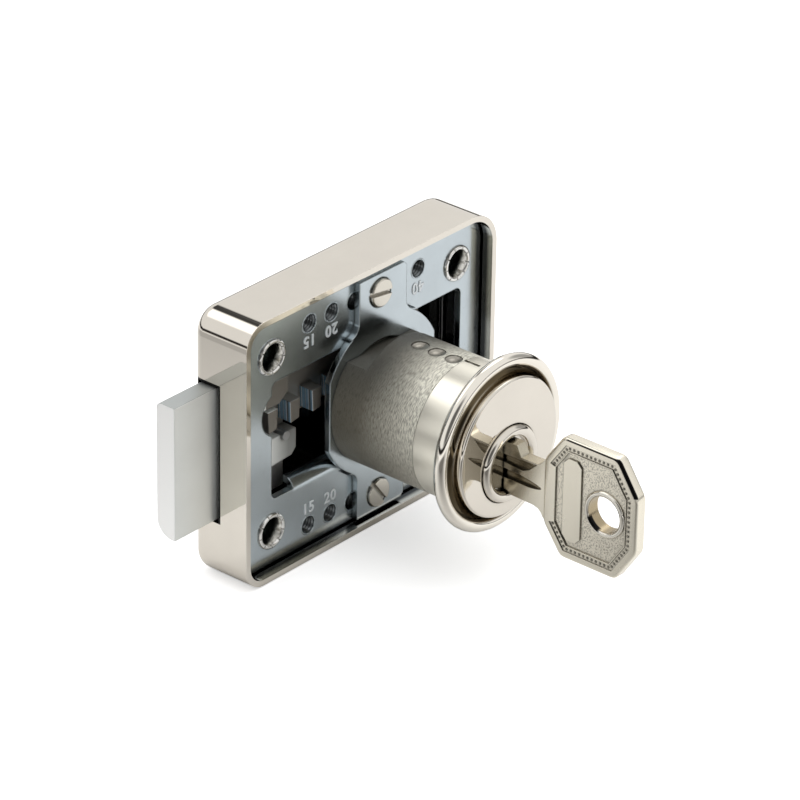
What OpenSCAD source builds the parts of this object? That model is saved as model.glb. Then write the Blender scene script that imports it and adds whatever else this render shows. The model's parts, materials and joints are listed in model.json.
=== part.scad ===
// Cupboard lock with a pin cylinder and its key, screwed on behind a door.
// X runs along the bolt, which points to -X. Y runs into the case and Z up.
// The origin is on the barrel's axis, in the plane of the case's rim.

/* [Case] */
// distance from the barrel's axis to the wall that the bolt leaves
face_backset = 31.45; // [31.3:0.05:33]
// distance from the plain-side eyelets to the wall beside them
margin_plain = 7.05; // [6.8:0.05:12]
// distance from the lower eyelets to the lower wall
margin_low = 6.99; // [6.8:0.01:12]
// distance from the upper eyelets to the upper wall
margin_high = 8.11; // [7.8:0.01:12]
// depth from the rim to the back
case_depth = 11; // [10.9:0.1:14]
// sheet thickness
case_wall = 1; // [0.8:0.05:1.05]
// corner radius beside the bolt
corner_bolt = 4; // [3:0.1:5]
// corner radius on the plain side
corner_plain = 6; // [4.5:0.1:6.5]
// radius round the back's edge
back_edge = 2; // [1.2:0.1:2.6]

/* [Base plate] */
// depth of its front below the rim
plate_set = 2.2; // [2.1:0.05:2.4]
// sheet thickness
plate_t = 1.2; // [1:0.05:1.2]
// gap to the case's walls
plate_gap = 0.3; // [0.1:0.05:0.5]
// corner radius beside the bolt
plate_corner_bolt = 2.5; // [1:0.1:3]
// corner radius on the plain side
plate_corner_plain = 4.5; // [2:0.1:5]
// distance from the bolt-side wall to the window
window_inset = 8.05; // [7.8:0.05:9]
// distance from the plain side's wall to the window
window_plain = 5.85; // [5.6:0.05:8]
// gap between the barrel's riveted rim and the window's lower edge
window_gap = 0.1; // [0.05:0.05:0.4]
// height of the window's upper edge over its lower edge's distance
window_rise = 0.8; // [0:0.1:1.5]
// window's corner radius
window_corner = 1.2; // [0.4:0.1:2]
// radius of the notch in the window's left edge
notch_r = 3.7; // [2.5:0.1:4]
// distance of the notch's middle inside the window's left edge
notch_in = 1.55; // [1:0.05:2]
// height of the notch
notch_z = 4.8; // [3:0.1:5.5]
// first and last X of the lip curled in at the window's lower edge
lip_x = [-18.4, -6];
// depth of the lip's start below the window's edge
lip_sink = 0.6; // [0.2:0.1:1]
// inner radius of the lip's curl
lip_r = 1; // [0.6:0.05:1.2]
// radius of the screw holes
thread_r = 1.45; // [1.42:0.01:1.8]
// distance of the screw holes from the middle of the eyelets' rows
thread_shift = 2.45; // [1.5:0.05:2.8]
// holes for the other backsets, as distances from the barrel's axis
backset_steps = [-15, -10, -5, 10];

/* [Mounting eyelets] */
// distance of the bolt-side pair from the wall that the bolt leaves
eyelet_inset = 7.95; // [7.8:0.05:9]
// spacing along X
eyelet_dx = 42.7; // [42.5:0.1:50]
// gap between the tubes and the bolt
eyelet_clear = 0.8; // [0.5:0.05:2]
// bore radius
eyelet_bore = 2; // [1.6:0.05:2.05]
// radius of the tube between the plate and the back
eyelet_tube = 2.85; // [2.8:0.05:3]
// radius of the neck in the plate and in the back
eyelet_neck = 2.5; // [2.4:0.05:2.6]
// height of the rolled rim over the plate
eyelet_rim = 0.42; // [0.3:0.02:0.5]
// width of the flange on the back beyond the tube
eyelet_flange = 0.45; // [0.2:0.05:0.5]
// thickness of the flange
eyelet_flange_t = 0.5; // [0.4:0.05:0.8]
// flare of the bore at the back, as length and width
eyelet_flare = [0.5, 0.4];

/* [Carrier plate] */
// sheet thickness
carrier_t = 1.1; // [0.9:0.05:1.15]
// first and last X of the two tabs
tab_x = [-4.8, 6.1];
// distances of the lower and the upper tab's end from the case's walls
tab_inset = [1.54, 2.46];
// chamfer on the tabs' plain side
tab_chamfer = 0.65; // [0.3:0.05:1.2]
// radius of the round middle
carrier_r = 13.5; // [12.5:0.1:14.2]
// shift of the round middle along X
carrier_shift = 0.75; // [0:0.05:1]
// first and last X of the round middle
carrier_x = [-11.4, 12.9];
// radius of the hollow curve between a tab and the round middle
carrier_blend = 2.2; // [1:0.1:3]

/* [Carrier screws] */
// head radius
screw_head_r = 2.35; // [2.1:0.05:2.5]
// height of the head over the plate
screw_proud = 0.5; // [0.3:0.05:0.7]
// thickness of the head
screw_head_t = 1; // [0.9:0.05:1.3]
// shank radius
screw_r = 1.4; // [1.2:0.01:1.41]
// length of the shank below the head
screw_len = 3.6; // [2.8:0.1:4]
// slot width
screw_slot_w = 0.7; // [0.4:0.05:0.9]
// slot depth
screw_slot_d = 0.6; // [0.3:0.05:0.8]
// turn of the upper and the lower screw's slot
screw_turns = [8, 52];

/* [Deadbolt] */
// reach out of the case
bolt_reach = 8.95; // [8:0.05:9.4]
// travel into the case
bolt_travel = 9; // [7:0.1:9]
// height of the head
bolt_h = 22.4; // [22.4:0.1:30]
// depth of the head's front
bolt_front = 6.3; // [6.25:0.05:7]
// gap between the bolt and the case's back
bolt_gap = 0.15; // [0.1:0.05:0.3]
// radius on the head's lower back edge
bolt_round_low = 2.9; // [1:0.1:3]
// radius on the head's upper back edge
bolt_round_high = 0.8; // [0.3:0.1:2]
// gap round the head in its opening
bolt_mouth_gap = 0.4; // [0.2:0.05:0.6]
// gap in front of the head in its opening
bolt_mouth_front = 0.7; // [0.3:0.05:1]
// depth of the raised block and of the rack's front
block_front = 3.65; // [3.6:0.05:3.9]
// first and last Z of the raised block below the teeth
block_z = [-5.4, -0.4];
// first and last Z of the raised block above the teeth
shelf_z = [5.2, 9.2];
// gap between the raised block and the pinion when the bolt is in
block_gap = 1.1; // [0.5:0.1:1.5]
// rise of the block's slanted lower edge
block_slant = 0.7; // [0:0.1:2]
// last X of the rack's plate
bar_x = 15; // [13:0.1:15.5]
// first and last Z of the rack's plate
bar_z = [0.4, 9.4];
// distance between teeth
tooth_pitch = 5; // [4.96:0.01:5.02]
// middle of the first tooth
tooth_first = -21.5; // [-21.6:0.02:-21.4]
// height of the teeth's upper ends
tooth_top = 4.4; // [4.1:0.1:4.8]
// number of teeth
tooth_count = 8; // [5:1:8]
// tooth width at the root
tooth_root_w = 2.2; // [1.9:0.05:2.25]
// tooth width at the tip
tooth_tip_w = 1.8; // [1.5:0.05:1.85]
// height of the teeth's tips
tooth_tip_z = 0.8; // [0.7:0.05:1.2]
// slant of the teeth's tips
tooth_slant = 0.3; // [0:0.05:0.5]
// length by which the upper block is shorter than the lower one
shelf_short = 1.8; // [1:0.1:2.4]
// slant of the upper block's end, as length and height
shelf_slant = [2, 1.4];
// chamfer of the lower block's end
block_chamfer = 1; // [0.4:0.1:1.4]
// radius of the round pin in the block
pin_r = 0.75; // [0.5:0.05:0.9]
// X and Z of the round pin
pin_at = [-19, -0.6];
// height of the pin over the block
pin_proud = 0.5; // [0.2:0.05:0.6]

/* [Guide stud] */
// X and Z of the stud
stud_at = [10, 6.8];
// stud radius
stud_r = 1.4; // [1:0.05:1.45]
// radius of its rivet neck in the back
stud_neck_r = 1; // [0.7:0.05:1.2]
// half the width of the bolt's slot round it
stud_slot_r = 1.7; // [1.6:0.05:1.8]

/* [Barrel] */
// radius
barrel_r = 11.1; // [10.9:0.05:11.3]
// radius under the sleeve
barrel_nose_r = 10.6; // [10.4:0.05:10.6]
// reach of the barrel in front of the rim
barrel_reach = 23.94; // [23.9:0.02:27]
// Y at which the sleeve starts
sleeve_y = -15.1; // [-15.4:0.05:-15]
// radius of the neck through the carrier plate
barrel_neck_r = 9.3; // [9.2:0.02:9.34]
// radius of the rim riveted over the plate
barrel_rivet_r = 9.5; // [9.42:0.02:9.52]
// thickness of that rim
barrel_rivet_t = 0.3; // [0.2:0.02:0.35]
// height of the milled flat over the axis
flat_z = 8.2; // [7.5:0.05:9.2]
// length of the milled flat
flat_len = 4; // [2:0.1:4.4]
// distance of the plug's axis below the barrel's axis
plug_drop = 2.67; // [2.6:0.01:2.75]
// Y of the first pin chamber
pin_first = -7; // [-7.05:0.05:-6.8]
// distance between pin chambers
pin_pitch = 3.3; // [3.2:0.02:3.32]
// number of pin chambers
pin_count = 5; // [3:1:5]
// chamber radius
chamber_r = 1.35; // [1.35:0.01:1.45]
// radius of the plugs that close the chambers
chamber_plug_r = 1.4; // [1.3:0.02:1.5]
// depth of those plugs
chamber_plug_t = 1; // [0.6:0.05:1.1]

/* [Front sleeve] */
// reach of the round face in front of the rim
face_reach = 24.84; // [24.8:0.02:28]
// radius of the round face
face_r = 11.3; // [11.2:0.02:11.6]
// edge radius of the round face
face_edge = 0.35; // [0.1:0.05:0.45]
// radius of the flange behind the face
flange_r = 12.15; // [12:0.01:12.19]
// distance from the face to the flange's back
flange_len = 3.24; // [3:0.02:3.6]
// radius of the hollow groove between the face and the rosette
groove_r = 1.2; // [1:0.05:1.2]
// length of the flange at the groove's floor
groove_floor = 0.9; // [0.6:0.05:1.2]
// width of the slit in the sleeve's upper side
slit_w = 0.6; // [0.3:0.05:1]
// X of the slit's side
slit_x = 0.5; // [0.2:0.05:1]
// length of the slit
slit_len = 2.9; // [1:0.1:4]

/* [Rosette] */
// radius of the middle of the rounded bead
bead_mid_r = 13.25; // [13.2:0.05:13.6]
// radius of the bead's section
bead_r = 1.05; // [0.9:0.05:1.1]
// distance of the bead's middle in front of the flange's back
bead_shift = 0.85; // [0.6:0.05:1]
// length of the ring behind the flange
rosette_t = 0.5; // [0.3:0.05:1]
// gap between the ring and the sleeve
rosette_gap = 0.05; // [0.02:0.01:0.1]

/* [Plug] */
// radius
plug_r = 6; // [5.9:0.02:6]
// running clearance in the barrel
plug_gap = 0.04; // [0.02:0.01:0.08]
// radius of its head
plug_head_r = 6.3; // [6.2:0.02:6.4]
// length of its head
plug_head_t = 1.4; // [1:0.05:2]
// section radius of the raised bead round the keyway
collar_r = 0.95; // [0.8:0.02:0.95]
// depth of the dished face inside the bead
dish = 0.3; // [0.1:0.05:0.6]
// Y of the plug's inner end
plug_end = 3.3; // [3.25:0.05:3.4]
// half the width of the keyway
keyway_half = 1.15; // [1.1:0.01:1.2]
// radius of the tail behind the plug
tail_r = 2.2; // [1.9:0.05:2.4]
// half the distance across the tail's flats
tail_flat = 1.7; // [1.5:0.05:1.8]
// groove radius for the clip
clip_seat_r = 5.2; // [5:0.05:5.4]
// outer radius of the clip
clip_r = 6.6; // [6.3:0.05:6.6]
// thickness of the clip
clip_t = 0.5; // [0.4:0.02:0.6]
// opening angle of the clip
clip_mouth = 70; // [40:5:110]
// distance from the keyway's inner end to the blade's tip
keyway_past = 0.4; // [0.2:0.05:0.6]
// gap below and above the blade in the keyway
keyway_play = [0.15, 0.35];

/* [Pins and springs] */
// pin radius
keypin_r = 1.3; // [1.15:0.01:1.3]
// height of the key pins' points
keypin_point = 0.6; // [0.4:0.05:0.8]
// narrowing of the key pins at their lower and upper ends
keypin_taper = [0.5, 0.25];
// height of the chamfer at the key pins' upper ends
keypin_top = 0.3; // [0.1:0.05:0.4]
// length of the driver pins
driver_len = 3.3; // [2.6:0.05:3.4]
// radius of the springs' coils
coil_r = 1; // [0.9:0.02:1.05]
// wire radius of the springs
wire_r = 0.17; // [0.12:0.01:0.2]
// turns of each spring
coil_turns = 4; // [3:1:6]

/* [Drive pinion] */
// number of fingers
finger_count = 6; // [6:1:6]
// half the width of a finger
finger_half = 0.6; // [0.5:0.02:0.65]
// reach of the fingers
finger_reach = 6.2; // [6:0.05:6.3]
// hub radius
hub_r = 3.1; // [2.8:0.05:3.3]
// first and last Y of the fingers
finger_y = [3.9, 6];
// screw head radius
tail_screw_r = 2.5; // [2.3:0.05:3]
// screw head thickness
tail_screw_t = 1.5; // [1:0.05:1.8]
// radius of the screw's shank
tail_shank_r = 0.9; // [0.7:0.05:1.1]
// width and depth of the screw's slot
tail_slot = [0.7, 0.6];
// step of the hub behind the fingers
hub_step = 0.3; // [0.1:0.05:0.5]

/* [Key] */
// thickness of the blade
blade_t = 2; // [1.8:0.05:2]
// first and last Z of the blade
blade_z = [-7.2, 0.17];
// Y of the blade's tip
blade_tip = -2.5; // [-3:0.1:-2.3]
// drop of each cut below the one before it, towards the tip
cut_step = 0.28; // [0.1:0.02:0.3]
// height and depth of the groove along the blade
ward = [1.3, 0.5];
// height of the groove's middle
ward_z = -4; // [-4.4:0.05:-3.6]
// thickness of the bow
bow_t = 2.2; // [2:0.05:3]
// middle of the bow as Y and Z
bow_at = [-41.35, -3.95];
// length and height of the bow
bow_size = [17.8, 20.4];
// chamfers of the two corners by the blade, as length and height
bow_near = [3.45, 4.85];
// chamfers of the two far corners, as length and height
bow_far = [3.8, 5.65];
// bevel round the bow
bow_bevel = 0.45; // [0.2:0.05:0.7]
// width of the bow's border
border_w = 1.9; // [1.2:0.05:2.2]
// depth of the field inside the border
field_d = 0.3; // [0.1:0.05:0.5]
// first and last Y of the raised panel
panel_y = [-39.6, -36.2];
// height of the raised panel
panel_h = 13.9; // [10:0.1:14.3]
// chamfer of the panel's corners
panel_chamfer = 0.9; // [0.4:0.1:1.2]
// Y of the ring hole's middle
hole_y = -44.1; // [-44.4:0.1:-43.6]
// radius of the ring hole
hole_r = 3; // [2:0.05:3.2]
// width of the raised rim round the hole
hole_rim = 0.6; // [0.3:0.05:0.7]
// height of the blade's shoulder over the barrel's axis
shoulder_z = 1.4; // [1:0.1:1.5]
// length of the shoulder's top
shoulder_len = 2.2; // [1.6:0.1:2.4]
// length of the slope behind the shoulder
shoulder_slope = 0.9; // [0.5:0.1:1.2]
// gap between the shoulder and the dished face round the keyway
shoulder_gap = 0.1; // [0.05:0.05:0.3]
// chamfer of the shoulder's front, as length and height
shoulder_chamfer = [0.3, 0.5];
// half the width of a cut in the blade
cut_half = 1.5; // [1.3:0.05:1.6]
// shift of the cuts towards the tip
cut_shift = 0.2; // [0:0.05:0.3]
// nose of the blade, as its length, lower height and upper drop
blade_nose = [1.4, 1.6, 2.57];

/* [Hidden] */
$fn = 72;
cut = 1;
fit_gap = 0.03;
screw_play = 0.2;
seat_play = 0.1;
head_gap = 0.06;
shear_gap = 0.06;
clip_play = 0.05;
ease = 0.02;
stop_gap = 0.2;
mouth_past = 0.5;
eyelet_z = bolt_h / 2 + eyelet_clear + eyelet_tube;
eyelet_l = eyelet_inset - face_backset;
eyelet_r = eyelet_l + eyelet_dx;
case_l = -face_backset;
case_r = eyelet_r + margin_plain;
case_lo = -eyelet_z - margin_low;
case_hi = eyelet_z + margin_high;
case_h = case_hi - case_lo;
case_mid = (case_lo + case_hi) / 2;
thread_z = eyelet_z + thread_shift;
tab_z = [case_lo + tab_inset[0], case_hi - tab_inset[1]];
window_left = case_l + window_inset;
window_right = case_r - window_plain;
window_low = barrel_rivet_r + window_gap;
window_high = window_low + window_rise;
block_x = -finger_reach - bolt_travel - block_gap;
back_in = case_depth - case_wall;
plate_back = plate_set + plate_t;
bolt_back = back_in - bolt_gap;
bolt_end = case_l - bolt_reach;
stop_x = case_l + case_wall + stop_gap;
carrier_front = plate_set - carrier_t;
plug_z = -plug_drop;
shear_z = plug_z + plug_r;
plug_front = -face_reach;
head_back = plug_front + plug_head_t;
collar_mid = plug_head_r - collar_r;
driver_base = shear_z + shear_gap;
clip_y = plate_set + barrel_rivet_t;
pitch_r = finger_count * tooth_pitch / (2 * PI);
mesh_x = tooth_first + 4.5 * tooth_pitch;
mesh_turn = mesh_x / pitch_r * 180 / PI;
cut_floor = -0.2;
bow_x = bow_t / 2;
flange_back = plug_front + flange_len;

// shapes drawn as (X, Z) and given a depth along Y
module slab(y0, y1) {
    translate([0, y1, 0])
        rotate([90, 0, 0])
            linear_extrude(y1 - y0)
                children();
}

// shapes drawn as (Y, Z) and given a width along X
module along_x(x0, x1) {
    translate([x0, 0, 0])
        rotate([90, 0, 90])
            linear_extrude(x1 - x0)
                children();
}

// shapes drawn as (radius, Y) and turned round the Y direction
module turned(x = 0, z = 0) {
    translate([x, 0, z])
        rotate([90, 0, 0])
            rotate_extrude()
                mirror([0, 1])
                    children();
}

module rod(y0, y1, r, x = 0, z = 0) {
    translate([x, y1, z])
        rotate([90, 0, 0])
            cylinder(h = y1 - y0, r = r);
}

// rectangle from corner to corner
module block2(a0, a1, b0, b1) {
    translate([a0, b0])
        square([a1 - a0, b1 - b0]);
}

// rectangle with one radius for its left and one for its right corners
module rounded(x0, x1, z0, z1, rl, rr) {
    block2(x0 + rl, x1 - rr, z0, z1);
    block2(x0, x0 + rl, z0 + rl, z1 - rl);
    block2(x1 - rr, x1, z0 + rr, z1 - rr);
    for (z = [z0 + rl, z1 - rl])
        translate([x0 + rl, z])
            circle(rl);
    for (z = [z0 + rr, z1 - rr])
        translate([x1 - rr, z])
            circle(rr);
}

// section of the case's wall, as (distance from a corner's middle, depth)
module wall_section(r) {
    difference() {
        union() {
            square([r, case_depth - back_edge]);
            square([r - back_edge, case_depth]);
            translate([r - back_edge, case_depth - back_edge])
                circle(back_edge);
        }
        block2(-cut, r - case_wall, -cut, case_depth - back_edge);
        block2(-cut, r - back_edge, -cut, back_in);
        translate([r - back_edge, case_depth - back_edge])
            circle(back_edge - case_wall);
    }
}

module case_corner(x, z, r, turn) {
    translate([x, 0, z])
        rotate([-90, 0, 0])
            rotate([0, 0, turn])
                rotate_extrude(angle = 90)
                    wall_section(r);
}

module case_shell() {
    xl = case_l + corner_bolt;
    xr = case_r - corner_plain;
    translate([xl, 0, case_mid])
        rotate([0, 90, 0])
            linear_extrude(xr - xl) {
                wall_section(case_h / 2);
                mirror([1, 0])
                    wall_section(case_h / 2);
            }
    translate([xl, 0, case_lo + corner_bolt])
        mirror([1, 0, 0])
            linear_extrude(case_h - 2 * corner_bolt)
                wall_section(corner_bolt);
    translate([xr, 0, case_lo + corner_plain])
        linear_extrude(case_h - 2 * corner_plain)
            wall_section(corner_plain);
    case_corner(xr, case_lo + corner_plain, corner_plain, 0);
    case_corner(xl, case_lo + corner_bolt, corner_bolt, 90);
    case_corner(xl, case_hi - corner_bolt, corner_bolt, 180);
    case_corner(xr, case_hi - corner_plain, corner_plain, 270);
}

// puts its children at each mounting eyelet
module at_eyelets() {
    for (x = [eyelet_l, eyelet_r], z = [-eyelet_z, eyelet_z])
        translate([x, 0, z])
            children();
}

module case() {
    color([0.8, 0.77, 0.7])
        difference() {
            case_shell();
            along_x(case_l - cut, case_l + case_wall + mouth_past)
                block2(bolt_front - bolt_mouth_front, back_in,
                       -bolt_h / 2 - bolt_mouth_gap, bolt_h / 2 + bolt_mouth_gap);
            at_eyelets()
                rod(back_in - cut, case_depth + cut, eyelet_neck + fit_gap);
            rod(back_in - cut, case_depth + cut, stud_neck_r + fit_gap, stud_at[0], stud_at[1]);
        }
}

// the sheet's curl at the window's lower edge, as (Y, Z)
module lip_section() {
    r = lip_r + plate_t;
    z = -window_low - lip_sink;
    intersection() {
        translate([plate_set + r, z])
            difference() {
                circle(r);
                circle(lip_r);
            }
        block2(plate_set, plate_set + r, z, z + r);
    }
}

module base_plate() {
    color([0.5, 0.55, 0.6]) {
        difference() {
            slab(plate_set, plate_back)
                rounded(case_l + case_wall + plate_gap, case_r - case_wall - plate_gap,
                        case_lo + case_wall + plate_gap, case_hi - case_wall - plate_gap,
                        plate_corner_bolt, plate_corner_plain);
            slab(plate_set - cut, plate_back + cut) {
                rounded(window_left, window_right, -window_low, window_high,
                        window_corner, window_corner);
                translate([window_left + notch_in, notch_z])
                    circle(notch_r);
                block2(lip_x[0], lip_x[1], -window_low - lip_sink, 0);
            }
            for (x = concat([0], backset_steps), z = [-thread_z, thread_z])
                rod(plate_set - cut, plate_back + cut, thread_r, x, z);
            at_eyelets()
                rod(plate_set - cut, plate_back + cut, eyelet_neck + fit_gap);
        }
        along_x(lip_x[0], lip_x[1])
            lip_section();
    }
}

module eyelet() {
    flange_y = back_in - eyelet_flange_t;
    rim_mid = eyelet_bore + eyelet_rim;
    turned()
        difference() {
            union() {
                intersection() {
                    translate([rim_mid, plate_set])
                        circle(eyelet_rim);
                    block2(0, eyelet_tube, plate_set - cut, plate_set);
                }
                block2(eyelet_bore, eyelet_neck, plate_set, case_depth);
                block2(eyelet_bore, eyelet_tube, plate_back, back_in);
                block2(eyelet_bore, eyelet_tube + eyelet_flange, flange_y, back_in);
            }
            polygon([[0, case_depth - eyelet_flare[0]],
                     [eyelet_bore, case_depth - eyelet_flare[0]],
                     [eyelet_bore + eyelet_flare[1], case_depth], [0, case_depth]]);
        }
}

module mounting_eyelets() {
    color([0.72, 0.71, 0.68])
        at_eyelets()
            eyelet();
}

// hollow curve in the corner between a tab's side and the cut side of the middle
module carrier_hollow(x, z, sx, sz) {
    r = carrier_blend;
    translate([x, z])
        scale([sx, sz])
            difference() {
                square(r);
                translate([r, r])
                    circle(r);
            }
}

// height at which the round middle meets a tab's side
function carrier_meet(x) = sqrt(carrier_r * carrier_r - pow(x - carrier_shift, 2));

module carrier_outline() {
    c = tab_chamfer;
    polygon([[tab_x[0], tab_z[0]], [tab_x[1] - c, tab_z[0]], [tab_x[1], tab_z[0] + c],
             [tab_x[1], tab_z[1] - c], [tab_x[1] - c, tab_z[1]], [tab_x[0], tab_z[1]]]);
    intersection() {
        translate([carrier_shift, 0])
            circle(carrier_r);
        block2(carrier_x[0], carrier_x[1], -carrier_r, carrier_r);
    }
    for (s = [-1, 1]) {
        carrier_hollow(tab_x[0], s * (carrier_meet(tab_x[0]) - carrier_blend / 3), -1, s);
        carrier_hollow(tab_x[1], s * (carrier_meet(tab_x[1]) - carrier_blend / 3), 1, s);
    }
}

module carrier_plate() {
    color([0.62, 0.67, 0.72])
        difference() {
            slab(carrier_front, plate_set)
                carrier_outline();
            rod(carrier_front - cut, plate_set + cut, barrel_neck_r + fit_gap);
            for (z = [-thread_z, thread_z]) {
                rod(carrier_front - cut, plate_set + cut, screw_r + screw_play, 0, z);
                rod(carrier_front - cut, carrier_front + screw_head_t - screw_proud,
                    screw_head_r + seat_play, 0, z);
            }
        }
}

module carrier_screw(turn) {
    top = carrier_front - screw_proud;
    seat = top + screw_head_t;
    difference() {
        union() {
            rod(top, seat, screw_head_r);
            rod(seat, seat + screw_len, screw_r);
        }
        rotate([0, turn, 0])
            slab(top - cut, top + screw_slot_d)
                square([2 * screw_head_r + cut, screw_slot_w], center = true);
    }
}

module carrier_screws() {
    color([0.72, 0.7, 0.66]) {
        translate([0, 0, thread_z])
            carrier_screw(screw_turns[0]);
        translate([0, 0, -thread_z])
            carrier_screw(screw_turns[1]);
    }
}

// section of the bolt's head, as (Y, Z)
module bolt_section() {
    h = bolt_h / 2;
    intersection() {
        block2(bolt_front, bolt_back, -h, h);
        union() {
            block2(bolt_front, bolt_back - bolt_round_low, -h, h);
            block2(bolt_front, bolt_back - bolt_round_high, bolt_round_low - h, h);
            block2(bolt_front, bolt_back, bolt_round_low - h, h - bolt_round_high);
            translate([bolt_back - bolt_round_low, bolt_round_low - h])
                circle(bolt_round_low);
            translate([bolt_back - bolt_round_high, h - bolt_round_high])
                circle(bolt_round_high);
        }
    }
}

// outline of the raised blocks below and above the teeth, as (X, Z)
module block_outline() {
    low = block_z[0] + block_slant;
    shelf_x = block_x - shelf_short;
    polygon([[stop_x, block_z[0]], [block_x - block_chamfer, low],
             [block_x, low + block_chamfer], [block_x, block_z[1]], [stop_x, block_z[1]]]);
    polygon([[stop_x, shelf_z[0]], [shelf_x - shelf_slant[0], shelf_z[0]],
             [shelf_x, shelf_z[0] + shelf_slant[1]], [shelf_x, shelf_z[1]], [stop_x, shelf_z[1]]]);
}

// outline of the rack's teeth, as (X, Z)
module teeth_outline() {
    w0 = tooth_root_w / 2;
    w1 = tooth_tip_w / 2;
    for (i = [0 : tooth_count - 1])
        translate([tooth_first + i * tooth_pitch, 0])
            polygon([[-w0, tooth_top], [-w1, tooth_tip_z], [w1, tooth_tip_z + tooth_slant],
                     [w0, tooth_top]]);
}

module deadbolt() {
    color([0.72, 0.73, 0.72])
        difference() {
            union() {
                along_x(bolt_end, block_x)
                    bolt_section();
                slab(block_front, bolt_front) {
                    block_outline();
                    teeth_outline();
                }
                slab(bolt_front, bolt_back)
                    block2(block_x, bar_x, bar_z[0], bar_z[1]);
            }
            slab(bolt_front - cut, bolt_back + cut) {
                block2(stud_at[0] - bolt_travel, stud_at[0],
                       stud_at[1] - stud_slot_r, stud_at[1] + stud_slot_r);
                for (x = [stud_at[0] - bolt_travel, stud_at[0]])
                    translate([x, stud_at[1]])
                        circle(stud_slot_r);
            }
            rod(block_front - cut, bolt_front, pin_r + fit_gap, pin_at[0], pin_at[1]);
        }
}

module bolt_pin() {
    color([0.7, 0.7, 0.68])
        rod(block_front - pin_proud, bolt_front, pin_r, pin_at[0], pin_at[1]);
}

module guide_stud() {
    color([0.6, 0.62, 0.64]) {
        rod(plate_back, back_in, stud_r, stud_at[0], stud_at[1]);
        rod(back_in, case_depth, stud_neck_r, stud_at[0], stud_at[1]);
    }
}

// puts its children at each pin chamber
module at_chambers() {
    for (i = [0 : pin_count - 1])
        translate([0, pin_first - i * pin_pitch, 0])
            children();
}

// radius of the barrel at a chamber
function barrel_at(i) = pin_first - i * pin_pitch < sleeve_y ? barrel_nose_r : barrel_r;

module barrel() {
    color([0.66, 0.63, 0.58])
        difference() {
            turned() {
                block2(0, barrel_nose_r - fit_gap, -barrel_reach, sleeve_y);
                block2(0, barrel_r, sleeve_y, carrier_front);
                block2(0, barrel_neck_r, carrier_front, plate_set);
                block2(0, barrel_rivet_r, plate_set, clip_y);
            }
            slab(carrier_front - flat_len, carrier_front + cut)
                block2(-barrel_r, barrel_r, flat_z, barrel_r + cut);
            rod(head_back - cut, clip_y + cut, plug_r + plug_gap, 0, plug_z);
            rod(-barrel_reach - cut, head_back, plug_head_r + head_gap, 0, plug_z);
            at_chambers()
                cylinder(h = barrel_r + cut, r = chamber_r);
            for (i = [0 : pin_count - 1])
                translate([0, pin_first - i * pin_pitch, barrel_at(i) - chamber_plug_t])
                    cylinder(h = chamber_plug_t + cut, r = chamber_plug_r);
        }
}

module chamber_plugs() {
    color([0.58, 0.56, 0.52])
        for (i = [0 : pin_count - 1])
            intersection() {
                translate([0, pin_first - i * pin_pitch, barrel_at(i) - chamber_plug_t])
                    cylinder(h = chamber_plug_t + cut, r = chamber_plug_r);
                rod(-barrel_reach, carrier_front, barrel_at(i) - fit_gap);
            }
}

module front_sleeve() {
    face_back = -barrel_reach;
    e = face_edge;
    groove_y = flange_back - groove_floor - groove_r;
    color([0.84, 0.81, 0.74])
        difference() {
            turned()
                difference() {
                    union() {
                        block2(barrel_nose_r, barrel_r, face_back, sleeve_y);
                        block2(0, face_r - e, plug_front, face_back);
                        block2(face_r - 2 * e, face_r, plug_front + e, face_back);
                        translate([face_r - e, plug_front + e])
                            circle(e);
                        block2(barrel_nose_r, face_r, plug_front + e, groove_y);
                        block2(barrel_nose_r, flange_r, groove_y, flange_back);
                    }
                    block2(0, barrel_nose_r, face_back, sleeve_y + cut);
                    translate([face_r + groove_r, groove_y])
                        circle(groove_r);
                }
            rod(plug_front - cut, face_back + cut, plug_head_r + head_gap, 0, plug_z);
            slab(sleeve_y - slit_len, sleeve_y + cut)
                block2(slit_x, slit_x + slit_w, barrel_nose_r - cut, barrel_r + cut);
        }
}

module rosette() {
    color([0.82, 0.77, 0.66])
        turned()
            difference() {
                union() {
                    translate([bead_mid_r, flange_back - bead_shift])
                        circle(bead_r);
                    block2(barrel_r + rosette_gap, bead_mid_r,
                           flange_back - bead_shift, flange_back + rosette_t);
                }
                block2(0, flange_r + rosette_gap, flange_back - 2 * bead_r, flange_back);
                block2(0, 2 * bead_mid_r, flange_back + rosette_t, flange_back + 3 * bead_r);
            }
}

// section of the keyway, as (X, Z)
module keyway_outline() {
    side = keyway_half - ward[1];
    half = ward[0] / 2 - keyway_play[0];
    difference() {
        block2(-keyway_half, keyway_half,
               blade_z[0] - keyway_play[0], blade_z[1] + keyway_play[1]);
        block2(-keyway_half - cut, -side, ward_z - half, ward_z + half);
    }
}

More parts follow.
